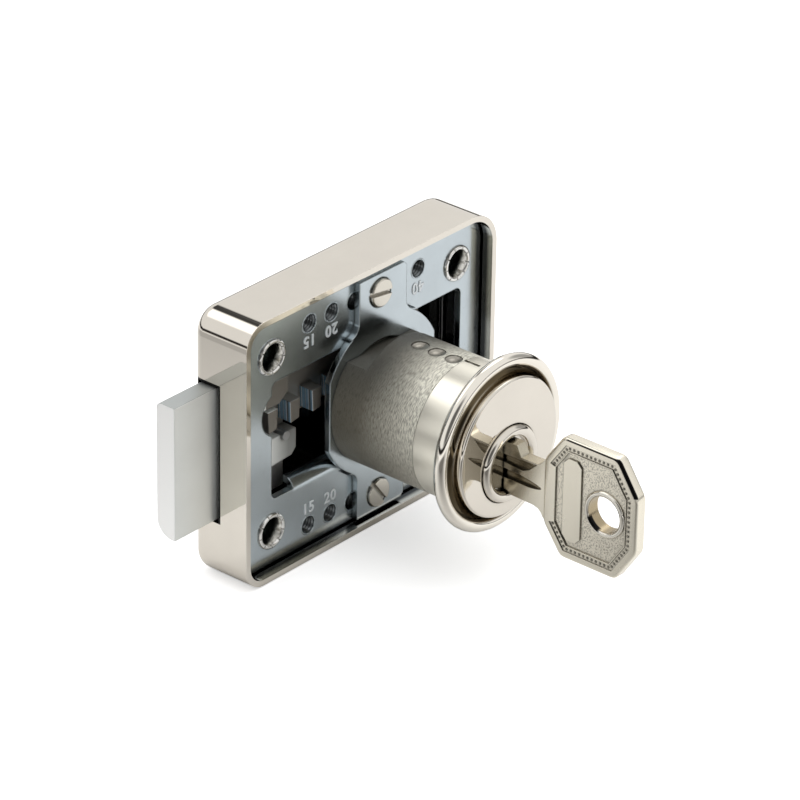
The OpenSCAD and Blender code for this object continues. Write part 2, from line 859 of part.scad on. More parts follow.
module plug() {
    y0 = clip_y;
    y1 = clip_y + clip_t + clip_play;
    color([0.78, 0.75, 0.68])
        difference() {
            union() {
                turned(0, plug_z) {
                    block2(0, collar_mid, plug_front + dish, head_back);
                    block2(collar_mid - collar_r, plug_head_r, plug_front, head_back);
                    intersection() {
                        translate([collar_mid, plug_front])
                            circle(collar_r);
                        block2(0, plug_head_r, plug_front - collar_r, plug_front);
                    }
                    block2(0, plug_r, head_back, y0);
                    block2(0, clip_seat_r, y0, y1);
                    block2(0, plug_r - seat_play, y1, plug_end);
                }
                intersection() {
                    rod(plug_end, finger_y[1], tail_r, 0, plug_z);
                    slab(plug_end, finger_y[1])
                        block2(-tail_flat, tail_flat, plug_z - tail_r, plug_z + tail_r);
                }
            }
            slab(plug_front - collar_r - cut, blade_tip + keyway_past)
                keyway_outline();
            at_chambers()
                translate([0, 0, plug_z])
                    cylinder(h = 2 * plug_r, r = chamber_r);
            rod(plug_end - cut / 2, finger_y[1] + cut, tail_shank_r, 0, plug_z);
        }
}

module plug_clip() {
    half = clip_mouth / 2;
    far = 2 * clip_r;
    color([0.45, 0.46, 0.48])
        translate([0, 0, plug_z])
            slab(clip_y, clip_y + clip_t)
                difference() {
                    circle(clip_r);
                    circle(clip_seat_r + ease);
                    polygon([[0, 0], [far, -far * tan(half)], [far, far * tan(half)]]);
                }
}

// height of the blade's cut under a chamber
function cut_z(i) = cut_floor - (pin_count - 1 - i) * cut_step;

module key_pins() {
    top = shear_z - stop_gap;
    color([0.76, 0.62, 0.32])
        for (i = [0 : pin_count - 1])
            translate([0, pin_first - i * pin_pitch, 0])
                rotate_extrude()
                    polygon([[0, cut_z(i) + fit_gap], [keypin_r - keypin_taper[0], cut_z(i) + fit_gap],
                             [keypin_r, cut_z(i) + keypin_point], [keypin_r, top - keypin_top],
                             [keypin_r - keypin_taper[1], top], [0, top]]);
}

module driver_pins() {
    color([0.72, 0.72, 0.7])
        at_chambers()
            translate([0, 0, driver_base])
                cylinder(h = driver_len, r = keypin_r);
}

// half the radial width of the wire's level section at an angle along the coil
function wire_half(a) = sqrt(max(0, wire_r * wire_r - pow(a / 90 * wire_r, 2)));

module spring(h) {
    reach = wire_r / (h / coil_turns) * 360;
    steps = [-1, -0.4, 0.4, 1];
    least = ease / 2;
    linear_extrude(h, twist = -360 * coil_turns, slices = 10 * coil_turns, segments = 8)
        polygon(concat(
            [for (s = steps) (coil_r - wire_half(90 * s) - least) * [cos(reach * s), sin(reach * s)]],
            [for (s = steps) (coil_r + wire_half(90 * s) + least) * [cos(reach * s), -sin(reach * s)]]));
}

module pin_springs() {
    base = driver_base + driver_len;
    color([0.7, 0.7, 0.72])
        for (i = [0 : pin_count - 1])
            translate([0, pin_first - i * pin_pitch, base])
                spring(barrel_at(i) - chamber_plug_t - base);
}

// outline of the tail's hole in the pinion, as (X, Z)
module tail_hole() {
    intersection() {
        circle(tail_r + ease);
        block2(-tail_flat - ease, tail_flat + ease, -2 * tail_r, 2 * tail_r);
    }
}

module drive_pinion() {
    color([0.62, 0.6, 0.55])
        translate([0, 0, plug_z]) {
            slab(finger_y[0], finger_y[1])
                difference() {
                    union() {
                        circle(hub_r);
                        for (k = [0 : finger_count - 1])
                            rotate(-mesh_turn - k * 360 / finger_count) {
                                block2(-finger_half, finger_half, 0, finger_reach - finger_half);
                                translate([0, finger_reach - finger_half])
                                    circle(finger_half);
                            }
                    }
                    tail_hole();
                }
            slab(plug_end, finger_y[0])
                difference() {
                    circle(hub_r - hub_step);
                    tail_hole();
                }
        }
}

module pinion_screw() {
    top = finger_y[1] + tail_screw_t;
    color([0.66, 0.66, 0.64])
        difference() {
            union() {
                rod(finger_y[1], top, tail_screw_r, 0, plug_z);
                rod(plug_end, finger_y[1], tail_shank_r - clip_play, 0, plug_z);
            }
            slab(top - tail_slot[1], top + cut)
                block2(-2 * tail_screw_r, 2 * tail_screw_r,
                       plug_z - tail_slot[0] / 2, plug_z + tail_slot[0] / 2);
        }
}

// outline of the bow set in from its edge, as (Y, Z) from its middle
function leg(a, b, d) = a - d * (b + a - sqrt(a * a + b * b)) / b;
function bow_points(d) =
    let (u = bow_size[0] / 2 - d, v = bow_size[1] / 2 - d,
         n = [leg(bow_near[0], bow_near[1], d), leg(bow_near[1], bow_near[0], d)],
         f = [leg(bow_far[0], bow_far[1], d), leg(bow_far[1], bow_far[0], d)])
    [[u - n[0], v], [f[0] - u, v], [-u, v - f[1]], [-u, f[1] - v],
     [f[0] - u, -v], [u - n[0], -v], [u, n[1] - v], [u, v - n[1]]];

module bow_outline(d) {
    translate(bow_at)
        polygon(bow_points(d));
}

// wedge that bevels the bow's outline along one edge
module bevel_wedge(p, q) {
    d = q - p;
    b = bow_bevel;
    translate([0, bow_at[0] + p[0], bow_at[1] + p[1]])
        rotate([atan2(d[1], d[0]), 0, 0])
            for (s = [-1, 1])
                translate([s * bow_x, -cut, 0])
                    rotate([-90, 0, 0])
                        linear_extrude(norm(d) + 2 * cut)
                            polygon([[-s * (b + cut), cut], [s * cut, cut], [s * cut, -b - cut]]);
}

// shoulder and blade with its cuts, as (Y, Z)
module blade_outline() {
    seat = plug_front + dish - shoulder_gap;
    root = bow_at[0] + bow_size[0] / 2 - bow_near[0] + cut;
    front = seat - shoulder_chamfer[0];
    crown = front - shoulder_len;
    last = pin_first - (pin_count - 1) * pin_pitch;
    nose = blade_tip - blade_nose[0];
    polygon(concat(
        [[root, blade_z[0]], [root, blade_z[1]], [crown - shoulder_slope, blade_z[1]],
         [crown, shoulder_z], [front, shoulder_z], [seat, shoulder_z - shoulder_chamfer[1]],
         [seat, blade_z[1]], [last - cut_half, blade_z[1]]],
        [for (i = [pin_count - 1 : -1 : 0], s = [-1, 1])
            [min(pin_first - i * pin_pitch + s * cut_half + cut_shift, nose), cut_z(i)]],
        [[blade_tip, blade_z[1] - blade_nose[2]], [blade_tip, blade_z[0] + blade_nose[1]],
         [nose, blade_z[0]]]));
}

// outline of the raised panel, as (Y, Z)
module panel_outline() {
    side = panel_h / 2;
    c = panel_chamfer;
    translate([0, bow_at[1]])
        for (s = [-1, 1])
            polygon([[panel_y[0], 0], [panel_y[0], s * (side - c)], [panel_y[0] + c, s * side],
                     [panel_y[1] - c, s * side], [panel_y[1], s * (side - c)], [panel_y[1], 0]]);
}

module key() {
    half = blade_t / 2;
    rim = bow_points(0);
    color([0.8, 0.78, 0.72])
        difference() {
            union() {
                along_x(-half, half)
                    blade_outline();
                difference() {
                    along_x(-bow_x, bow_x)
                        bow_outline(0);
                    for (i = [0 : 7])
                        bevel_wedge(rim[i], rim[(i + 1) % 8]);
                    for (s = [-1, 1])
                        along_x(s * bow_x - field_d, s * bow_x + field_d)
                            difference() {
                                bow_outline(border_w);
                                translate([hole_y, bow_at[1]])
                                    circle(hole_r + hole_rim);
                                panel_outline();
                            }
                }
            }
            along_x(-bow_x - cut, bow_x + cut)
                translate([hole_y, bow_at[1]])
                    circle(hole_r);
            along_x(-half - cut, ward[1] - half)
                block2(bow_at[0] + bow_size[0] / 2, blade_tip + cut,
                       ward_z - ward[0] / 2, ward_z + ward[0] / 2);
        }
}

case();
base_plate();
mounting_eyelets();
carrier_plate();
carrier_screws();
deadbolt();
bolt_pin();
guide_stud();
barrel();
chamber_plugs();
front_sleeve();
rosette();
plug();
plug_clip();
key_pins();
driver_pins();
pin_springs();
drive_pinion();
pinion_screw();
key();
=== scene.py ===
# %% [markdown]
# Cupboard lock with its key
#
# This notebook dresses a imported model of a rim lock: a polished case with a zinc-plated
# plate in it, a deadbolt, a round cylinder that reaches through the door, and a flat key.
# The solids come from the frame. Some stay and only get a finish, and the ones whose
# small forms matter to the eye are modelled again here, in the same place.

# %% Frame
import json
from math import atan2, cos, pi, radians, sin, sqrt

import bmesh
import bpy
from mathutils import Matrix, Vector


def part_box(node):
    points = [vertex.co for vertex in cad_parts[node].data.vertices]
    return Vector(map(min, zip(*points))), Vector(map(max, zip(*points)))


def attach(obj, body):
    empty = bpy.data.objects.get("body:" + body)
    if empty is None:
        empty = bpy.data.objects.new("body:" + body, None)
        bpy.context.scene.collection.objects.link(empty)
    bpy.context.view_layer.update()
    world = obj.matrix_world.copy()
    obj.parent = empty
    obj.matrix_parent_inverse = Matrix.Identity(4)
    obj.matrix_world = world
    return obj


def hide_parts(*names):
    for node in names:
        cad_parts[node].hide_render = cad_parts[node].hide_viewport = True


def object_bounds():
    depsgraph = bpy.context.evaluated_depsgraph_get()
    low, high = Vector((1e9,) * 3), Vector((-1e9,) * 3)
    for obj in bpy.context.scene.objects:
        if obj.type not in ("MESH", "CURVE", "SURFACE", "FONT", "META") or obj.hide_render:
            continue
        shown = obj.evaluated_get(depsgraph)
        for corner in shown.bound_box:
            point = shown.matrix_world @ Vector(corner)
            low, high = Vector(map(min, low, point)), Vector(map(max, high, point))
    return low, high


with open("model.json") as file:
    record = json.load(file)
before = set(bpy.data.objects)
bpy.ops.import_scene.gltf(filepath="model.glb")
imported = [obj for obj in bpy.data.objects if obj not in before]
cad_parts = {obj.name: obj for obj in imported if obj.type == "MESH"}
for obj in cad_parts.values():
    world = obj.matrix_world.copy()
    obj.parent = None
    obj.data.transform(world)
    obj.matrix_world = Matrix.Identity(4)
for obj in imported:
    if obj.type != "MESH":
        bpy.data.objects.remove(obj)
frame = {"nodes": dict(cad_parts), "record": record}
nodes = frame["nodes"]
MM = 0.001
cad_box = [list(corner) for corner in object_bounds()]
scene = bpy.context.scene
print("CAD box in mm:", [[round(v / MM, 1) for v in corner] for corner in cad_box])

# %% [markdown]
# The camera. A long lens from the upper left shows the face towards the door, the bolt
# and the key at once. The angles below were found by matching measured points of the
# lock, so they are odd numbers. The lens is set for a square picture.

# %% Camera
CAMERA_AT = Vector((-519.715, -443.617, 361.553)) * MM
YAW, PITCH, ROLL = radians(-49.7159), radians(27.9343), radians(-0.9727)
LENS, SENSOR = 227.08, 36

ahead = Vector((-sin(YAW) * cos(PITCH), cos(YAW) * cos(PITCH), -sin(PITCH)))
level = Vector((cos(YAW), sin(YAW), 0))
down = ahead.cross(level)
right = level * cos(ROLL) + down * sin(ROLL)
down = down * cos(ROLL) - level * sin(ROLL)

camera = bpy.data.objects.new("camera", bpy.data.cameras.new("camera"))
scene.collection.objects.link(camera)
camera.matrix_world = Matrix.Translation(CAMERA_AT) @ Matrix(
    (right, -down, -ahead)).transposed().to_4x4()
camera.data.lens = LENS
camera.data.sensor_width = SENSOR
camera.data.clip_start = 0.05
camera.data.clip_end = 20
scene.camera = camera
scene.view_settings.view_transform = "Standard"
print("camera at", [round(v, 3) for v in camera.location])

# %% [markdown]
# Node trees are easier to read when one short call makes a node and links it. `add` takes
# a node type, the values of its sockets and its settings. A socket given as another
# node's output is linked, and any other value is written on the socket.

# %% Node helpers
def add(tree, kind, inputs=None, **settings):
    """Adds a shader node; inputs maps socket names or numbers to values or outputs."""
    node = tree.nodes.new(kind)
    for key, value in settings.items():
        setattr(node, key, value)
    for key, value in (inputs or {}).items():
        socket = node.inputs[key]
        if isinstance(value, bpy.types.NodeSocket):
            tree.links.new(value, socket)
        else:
            socket.default_value = value
    return node


def math(tree, operation, a, b=0.0, c=0.0):
    return add(tree, "ShaderNodeMath", {0: a, 1: b, 2: c}, operation=operation).outputs[0]


def product(tree, first, *others):
    """Masks multiplied together."""
    for other in others:
        first = math(tree, "MULTIPLY", first, other)
    return first


def vector(tree, operation, a, b=(0, 0, 0)):
    return add(tree, "ShaderNodeVectorMath", {0: a, 1: b}, operation=operation)


def blend(tree, factor, a, b):
    """Colour a where the factor is 0 and colour b where it is 1."""
    return add(tree, "ShaderNodeMix", {0: factor, 6: a, 7: b}, data_type="RGBA").outputs[2]


def remap(tree, value, low, high, to_low=0.0, to_high=1.0, kind="LINEAR"):
    """Moves a range of values to another range and stops at its ends."""
    return add(tree, "ShaderNodeMapRange", {0: value, 1: low, 2: high, 3: to_low, 4: to_high},
               interpolation_type=kind).outputs[0]


def noise(tree, place, scale=1.0, detail=2.0, roughness=0.5):
    return add(tree, "ShaderNodeTexNoise", {
        "Vector": place, "Scale": scale, "Detail": detail,
        "Roughness": roughness}).outputs["Fac"]


print("node helpers ready")

# %% [markdown]
# The studio. Polished metal shows its surroundings, so the room matters more than the
# lamp. A white room gives bright planes, and a few dark cards give the narrow black
# reflections that draw the edges. A card or a lit wall is a lobe: a soft round patch in
# one direction that adds light or takes it away.

# %% Room
WHITE = (1, 1, 1, 1)
ROOM_LEVEL, LEAST_LIGHT = 0.86, 0.02
SKY_FROM, SKY_FULL = 0.03, 0.10
ROOM_LOBES = [
    # aim, inner and outer angle, brightness added
    ((-0.67, -0.57, 0.47), 16, 36, -0.74),
    ((0.37, 0.57, 0.73), 9, 15, -0.80),
    ((-0.16, 0.56, 0.81), 12, 20, 0.70),
    ((0.50, 0.30, 0.81), 8, 20, 1.60),
    ((0.95, -0.20, 0.25), 10, 25, -0.50),
]


def lobe(tree, direction, aim, inner, outer):
    """1 within inner degrees of a direction, falling softly to 0 at outer degrees."""
    along = vector(tree, "DOT_PRODUCT", direction, Vector(aim).normalized()).outputs["Value"]
    return remap(tree, along, cos(radians(outer)), cos(radians(inner)), kind="SMOOTHSTEP")


def seen_mask(tree):
    """1 where the camera looks, directly or through something clear."""
    path = add(tree, "ShaderNodeLightPath").outputs
    return math(tree, "MAXIMUM", path["Is Camera Ray"], path["Is Transmission Ray"])


world = bpy.data.worlds.new("room")
world.use_nodes = True
scene.world = world
tree = world.node_tree
tree.nodes.clear()
direction = add(tree, "ShaderNodeTexCoord").outputs["Generated"]
light = ROOM_LEVEL
for aim, inner, outer, gain in ROOM_LOBES:
    light = math(tree, "MULTIPLY_ADD", lobe(tree, direction, aim, inner, outer), gain, light)
height = add(tree, "ShaderNodeSeparateXYZ", {0: direction}).outputs["Z"]
light = product(tree, light, remap(tree, height, SKY_FROM, SKY_FULL, kind="SMOOTHSTEP"))
light = math(tree, "MAXIMUM", light, LEAST_LIGHT)
strength = math(tree, "MAXIMUM", seen_mask(tree), light)
background = add(tree, "ShaderNodeBackground", {"Color": WHITE, "Strength": strength})
add(tree, "ShaderNodeOutputWorld", {"Surface": background.outputs[0]})
print("room:", len(ROOM_LOBES), "lobes round a level of", ROOM_LEVEL)

# %% [markdown]
# The floor is white paper. It keeps the lock's shadow. To the camera it glows a little, so
# that it blends with the room. In the metal's mirror images its colour is painted darker near
# three spots and fades out between 340 and 700 mm away, as at a table's edge. This painted
# shade gives the polished walls their dark lower parts.

# %% Floor
FLOOR_SIZE, FLOOR_GAP, FLOOR_GLOW = 3, 0.1, 0.50
PAPER, MIRROR_SHADE = (0.90, 0.90, 0.90, 1), (0.04, 0.035, 0.03, 1)
DIM_SPOTS = [
    # middle, distance of the least light, distance of full light, the least light
    ((-80, -85, 0), 45, 95, 0.15),
    ((-150, 110, 0), 60, 150, 0.45),
    ((-28, -52, 0), 10, 40, 0.25),
    ((0, 0, 0), 700, 340, 0.0),
]


def clear_of(tree, place, spot, near, far, least):
    """Falls from 1 to a least value towards a spot on the floor; lengths in mm."""
    away = vector(tree, "DISTANCE", place, Vector(spot) * MM).outputs["Value"]
    return remap(tree, away, near * MM, far * MM, least, 1.0)


floor_z = cad_box[0][2]
bm = bmesh.new()
bmesh.ops.create_grid(bm, x_segments=1, y_segments=1, size=FLOOR_SIZE)
bmesh.ops.translate(bm, verts=bm.verts, vec=(0, 0, floor_z - FLOOR_GAP * MM))
mesh = bpy.data.meshes.new("floor")
bm.to_mesh(mesh)
bm.free()
floor = bpy.data.objects.new("floor", mesh)
scene.collection.objects.link(floor)

paper = bpy.data.materials.new("paper_floor")
paper.use_nodes = True
tree = paper.node_tree
tree.nodes.clear()
place = add(tree, "ShaderNodeTexCoord").outputs["Object"]
mirrored = add(tree, "ShaderNodeLightPath").outputs["Is Glossy Ray"]
shade = product(tree, *[clear_of(tree, place, *spot) for spot in DIM_SPOTS])
# Only glossy rays see this painted shade: the paper is painted darker near the spots and far off.
colour = blend(tree, mirrored, PAPER, blend(tree, shade, MIRROR_SHADE, PAPER))
glow = math(tree, "MULTIPLY", seen_mask(tree), FLOOR_GLOW)
shader = add(tree, "ShaderNodeBsdfPrincipled", {
    "Base Color": colour, "Roughness": 0.9, "Specular IOR Level": 0.0,
    "Emission Color": WHITE, "Emission Strength": glow})
add(tree, "ShaderNodeOutputMaterial", {"Surface": shader.outputs[0]})
mesh.materials.append(paper)
print("floor at", round(floor_z / MM, 2), "mm")

# %% [markdown]
# The lamp. The room gives nearly all the light. One large soft lamp above the lock adds to
# its shadow, and the metal doesn't mirror it.

# %% Lamp
LAMP_AT, LAMP_SIZE, LAMP_POWER = Vector((0.10, -0.10, 1.00)), 0.80, 3.0
data = bpy.data.lights.new("lamp_top", "AREA")
data.size = LAMP_SIZE
data.energy = LAMP_POWER
lamp = bpy.data.objects.new("lamp_top", data)
scene.collection.objects.link(lamp)
lamp.location = LAMP_AT
lamp.rotation_euler = (-LAMP_AT).to_track_quat("-Z", "Y").to_euler()
lamp.visible_glossy = False
print("lamp:", lamp.name, LAMP_POWER, "W")

# %% [markdown]
# Metal's small grain. Real plating is never one flat value: it has faint clouds, a fine
# grain and a few specks, and the first group gives these three. A lathe leaves lines that
# run round a turned piece, and the second group gives them. The third gives the pits of a
# stippled field, which a die presses in.

# %% Group helpers
def new_group(name, inputs, outputs):
    """A node group with float sockets; returns the tree, its input and its output."""
    tree = bpy.data.node_groups.new(name, "ShaderNodeTree")
    for label, default in inputs.items():
        socket = tree.interface.new_socket(label, in_out="INPUT", socket_type="NodeSocketFloat")
        socket.default_value = default
    for label in outputs:
        tree.interface.new_socket(label, in_out="OUTPUT", socket_type="NodeSocketFloat")
    return tree, tree.nodes.new("NodeGroupInput"), tree.nodes.new("NodeGroupOutput")


def use_group(tree, group, **values):
    node = tree.nodes.new("ShaderNodeGroup")
    node.node_tree = group
    for key, value in values.items():
        node.inputs[key].default_value = value
    return node


print("group helpers ready")

# %% Shader groups
SPECK_SCALE, BARREL_R = 2600.0, 11.1

grain_group, g_in, g_out = new_group(
    "metal_grain", {"Grain": 9000.0, "Clouds": 110.0}, ("Fine", "Cloud", "Speck"))
place = add(grain_group, "ShaderNodeTexCoord").outputs["Object"]
fine = noise(grain_group, place, g_in.outputs["Grain"])
cloud = noise(grain_group, place, g_in.outputs["Clouds"], detail=4.0, roughness=0.6)
speck = noise(grain_group, place, SPECK_SCALE, detail=1.0)
speck = remap(grain_group, speck, 0.66, 0.74)
for label, value in (("Fine", fine), ("Cloud", cloud), ("Speck", speck)):
    grain_group.links.new(value, g_out.inputs[label])

turned_group, t_in, t_out = new_group(
    "turned_grain", {"Along": 1100.0, "Across": 6500.0}, ("Lines",))
place = add(turned_group, "ShaderNodeTexCoord").outputs["Object"]
parts = add(turned_group, "ShaderNodeSeparateXYZ", {0: place}).outputs
angle = math(turned_group, "ARCTAN2", parts["X"], parts["Z"])
along = product(turned_group, angle, BARREL_R * MM, t_in.outputs["Along"])
across = product(turned_group, parts["Y"], t_in.outputs["Across"])
unrolled = add(turned_group, "ShaderNodeCombineXYZ", {0: along, 1: across}).outputs[0]
lines = noise(turned_group, unrolled, roughness=0.65)
turned_group.links.new(lines, t_out.inputs["Lines"])

stipple_group, s_in, s_out = new_group("stipple", {"Scale": 3800.0}, ("Pits",))
place = add(stipple_group, "ShaderNodeTexCoord").outputs["Object"]
cells = noise(stipple_group, place, s_in.outputs["Scale"], detail=1.5, roughness=0.6)
stipple_group.links.new(remap(stipple_group, cells, 0.50, 0.58), s_out.inputs["Pits"])
print("groups:", [group.name for group in bpy.data.node_groups])

# %% [markdown]
# Where a finish changes. Most masks below place painted shade, painted light and painted
# reflections in a colour: the tray's dark inside, the shaded barrel and blade, the dark floors
# of the key's grooves and the black cards that polished edges mirror. Each mask below is 1
# where such a change lies and 0 elsewhere. It reads only the place on the piece and the way
# the surface faces, so it moves with the piece. Lengths are in mm.

# %% Mask helpers
def axis_value(tree, axis, kind="Object"):
    """One part of the place on the piece, or of the normal."""
    place = add(tree, "ShaderNodeTexCoord").outputs[kind]
    return add(tree, "ShaderNodeSeparateXYZ", {0: place}).outputs[axis]


def between(tree, value, start, stop, most=1.0):
    """0 at one length and most at a second one."""
    return remap(tree, value, start * MM, stop * MM, 0.0, most)


def past(tree, axis, start, stop, most=1.0):
    """0 before a place on an axis and most after a second one."""
    return between(tree, axis_value(tree, axis), start, stop, most)


def facing(tree, axis, start, stop):
    """0 to 1 while the normal's part along an axis goes from start to stop."""
    return remap(tree, axis_value(tree, axis, "Normal"), start, stop)


def sideways(tree):
    """1 on sides that look along X, either way."""
    side = math(tree, "ABSOLUTE", axis_value(tree, "X", "Normal"))
    return remap(tree, side, 0.7, 0.9)


def streaks(tree, axis, fineness, line, low, high, *levels):
    """Stripes across an axis; line picks one of the noise's own axes."""
    across = math(tree, "MULTIPLY", axis_value(tree, axis), fineness)
    place = add(tree, "ShaderNodeCombineXYZ", {line: across}).outputs[0]
    return remap(tree, noise(tree, place), low, high, *levels)


print("mask helpers ready")

# %% [markdown]
# The case's inner sides get little light, so their colour is painted dark as shade, and the
# slit round the bolt is painted black as its dark inside. The bolt's end is painted lighter
# and its top darker, as painted light and shade, and its tail in the window is painted darker
# as shade. The rack's flanks are painted dark as shade, and its teeth's fronts get a darker
# colour. The blue and the light streaks on the flanks mirror things in a room, and are painted
# where they lie.

# %% Masks of the case and the bolt
TAIL_X, BLOCK_Y = -23.2, 6.3
SECOND_TOOTH_X, MOUTH_X = -20.9, -29.3
GAP_Y, GAP_Z, FADE = (5.3, 10.02), (-11.65, 11.85), 0.05


def case_inside(tree):
    """The inner sides of the tray, painted dark as shade, since they get little light."""
    low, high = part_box("case")
    coordinates = add(tree, "ShaderNodeTexCoord")
    away = vector(tree, "SUBTRACT", coordinates.outputs["Object"], (low + high) / 2)
    away = vector(tree, "MULTIPLY", away.outputs[0], (1, 0, 1))
    inwards = vector(tree, "DOT_PRODUCT", away.outputs[0], coordinates.outputs["Normal"])
    walls = product(tree, between(tree, inwards.outputs["Value"], -2, -4),
                    past(tree, "Y", 0.5, 1.2))
    back = product(tree, facing(tree, "Y", -0.5, -0.8), past(tree, "Y", 5, 6))
    return math(tree, "MAXIMUM", walls, back)


def bolt_gap(tree):
    """The case's wall close to the bolt's opening, on the near side and above, painted black as the
    shade in the slit round the bolt.
    """
    return product(
        tree, past(tree, "Y", GAP_Y[0] - FADE, GAP_Y[0] + 0.02),
        past(tree, "Y", GAP_Y[1] + FADE, GAP_Y[1]), past(tree, "Z", GAP_Z[0] - FADE, GAP_Z[0]),
        past(tree, "Z", GAP_Z[1] + FADE, GAP_Z[1]), past(tree, "X", MOUTH_X + 0.3, MOUTH_X))


def bolt_end(tree):
    """The bolt's end, painted lighter because the light falls on it: painted light."""
    return facing(tree, "X", -0.7, -0.9)


def bolt_top(tree):
    """The upper side of the bolt outside the case, painted darker as shade."""
    return product(tree, facing(tree, "Z", 0.7, 0.9), past(tree, "X", -30.0, -30.2))


def bolt_hidden(tree):
    """The bolt's tail in the window, painted darker towards the middle of the case as shade."""
    return past(tree, "X", -22.5, -18.0, 0.85)


def rack_flank(tree):
    """The sides of the rack's teeth, which point along X, painted dark as shade."""
    return product(tree, sideways(tree), past(tree, "X", TAIL_X, TAIL_X + 0.2),
                   past(tree, "Y", BLOCK_Y, BLOCK_Y - 0.1))


def rack_blue(tree):
    """The flanks past the first tooth, which mirror a blue thing in the room in streaks."""
    return product(tree, rack_flank(tree), past(tree, "X", SECOND_TOOTH_X, SECOND_TOOTH_X + 0.1),
                   streaks(tree, "Y", 1500.0, 0, 0.35, 0.50))


def rack_bright(tree):
    """The light streaks on the same flanks."""
    return product(tree, rack_blue(tree), streaks(tree, "Y", 2100.0, 1, 0.54, 0.60))


def rack_front(tree):
    """The fronts of the rack's teeth, which get a darker colour."""
    return product(tree, facing(tree, "Y", -0.7, -0.9), past(tree, "X", TAIL_X, TAIL_X + 0.2),
                   past(tree, "Z", -0.2, 0.2))


print("case and bolt: 9 masks")

# %% [markdown]
# On the cylinder, the groove round its face gets a darker colour. The barrel stands between
# the sleeve and the case, which shade it, so its colour is painted darker that way and on its
# lower side, a painted shade. The sleeve behind the rosette is painted lighter as a highlight,
# and the eyelets' bores are painted dark as shade.

# %% Masks of the cylinder and the eyelets
GROOVE_IN, GROOVE_OUT = (11.32, 11.40), (12.70, 12.50)


def groove_darkening(tree):
    """The bottom of the hollow groove between the round face and the rosette."""
    place = add(tree, "ShaderNodeTexCoord").outputs["Object"]
    flat = vector(tree, "MULTIPLY", place, (1, 0, 1))
    radius = vector(tree, "LENGTH", flat.outputs[0]).outputs["Value"]
    return product(tree, between(tree, radius, *GROOVE_IN), between(tree, radius, *GROOVE_OUT),
                   past(tree, "Y", -24.2, -23.1), past(tree, "Y", -21.4, -21.5))


def sleeve_side(tree):
    """The sleeve behind the rosette, which is turned and not polished, and whose colour is painted
    lighter as a highlight.
    """
    return past(tree, "Y", -21.3, -21.2)


def barrel_shade(tree):
    """The barrel, painted darker towards the case as shade."""
    return past(tree, "Y", -14.0, -4.0, 0.88)


def barrel_low(tree):
    """The barrel's lower side, painted darker as shade."""
    return past(tree, "Z", 4, -4, 0.55)


def barrel_top(tree):
    """The upper side of the barrel near the case, painted dark as its shade."""
    return product(tree, past(tree, "Z", 3, 9), past(tree, "Y", -13, -5, 0.7))


def bore_shade(tree):
    """The eyelets' bores behind their funnels, painted dark as shade."""
    return past(tree, "Y", 2.9, 3.5)


print("cylinder and eyelets: 6 masks")

# %% [markdown]
# Some of the key's sizes come first, because its stains have to meet its edges. The bow is
# an eight-sided plate: a middle, half its length and height, half its thickness, and the
# two lengths by which its near and its far corners are cut back. Lengths are in mm.

# %% Key sizes
BOW_AT, BOW_HALF, BOW_X, FIELD_D = (-41.35, -3.95), (8.9, 10.2), 1.1, 0.26
NEAR, FAR = (3.45, 4.85), (3.8, 5.65)
HOLE_AT, HOLE_R = (-44.1, -3.95), 2.95
print("bow:", 2 * BOW_HALF[0], "by", 2 * BOW_HALF[1], "by", 2 * BOW_X, "mm")

# %% [markdown]
# On the key, the grooves' floors are painted dark as shade, and the blade is painted darker
# near the plug as shade. The ring hole's wall gets a darker brown colour. Two places mirror
# narrow black cards: the edge at the bow's upper far corner and the rim of the ring hole.
# The room here has no cards so narrow, so both are painted where they lie.

# %% Masks of the key
HOLE_CARDS = [
    # direction from the hole's axis, half its turn, and how far out it reaches
    ((0, 0.663, -0.748), 30, 3.34),
    ((0, -0.80, 0.60), 26, 3.16),
]


def key_field(tree):
    """The stippled field of the bow, which lies lower than its border."""
    sides = math(tree, "ABSOLUTE", axis_value(tree, "X"))
    floor_x = BOW_X - FIELD_D
    return product(tree, between(tree, sides, floor_x + 0.04, floor_x + 0.02), sideways(tree),
                   past(tree, "Y", -34.6, -34.7))


def key_slit(tree):
    """The rounded edge at the bow's upper far corner, which mirrors a black card."""
    slope = Vector((0, -FAR[1], FAR[0])).normalized()
    aim = (slope + Vector((-1, 0, 0))).normalized()
    normal = add(tree, "ShaderNodeTexCoord").outputs["Normal"]
    toward = vector(tree, "DOT_PRODUCT", normal, aim).outputs["Value"]
    top = BOW_AT[1] + BOW_HALF[1]
    low = top - FAR[1]
    return product(tree, remap(tree, toward, 0.75, 0.78), past(tree, "Z", low + 0.1, low + 0.2),
                   past(tree, "Z", top - 0.1, top - 0.2))


def blade_shade(tree):
    """The blade, painted darker towards the plug as shade."""
    return past(tree, "Y", -32.0, -26.5, 0.75)


def blade_groove(tree):
    """The milled grooves' floors, painted dark as shade in the grooves, with the cutter's lines
    along the blade.
    """
    return product(tree, past(tree, "X", -0.93, -0.85), past(tree, "X", -0.2, -0.3),
                   past(tree, "Y", -32.6, -32.4), facing(tree, "X", -0.5, -0.8),
                   streaks(tree, "Z", 2600.0, 0, 0.35, 0.60, 0.45, 0.95))


def from_hole(tree):
    """The direction from the ring hole's axis and the distance to it."""
    place = add(tree, "ShaderNodeTexCoord").outputs["Object"]
    away = vector(tree, "SUBTRACT", place, Vector((0, *HOLE_AT)) * MM)
    away = vector(tree, "MULTIPLY", away.outputs[0], (0, 1, 1)).outputs[0]
    unit = vector(tree, "NORMALIZE", away).outputs[0]
    return unit, vector(tree, "LENGTH", away).outputs["Value"]


def hole_wall(tree):
    """The wall of the key's ring hole, which gets a darker brown colour."""
    return between(tree, from_hole(tree)[1], HOLE_R + 0.09, HOLE_R + 0.04)


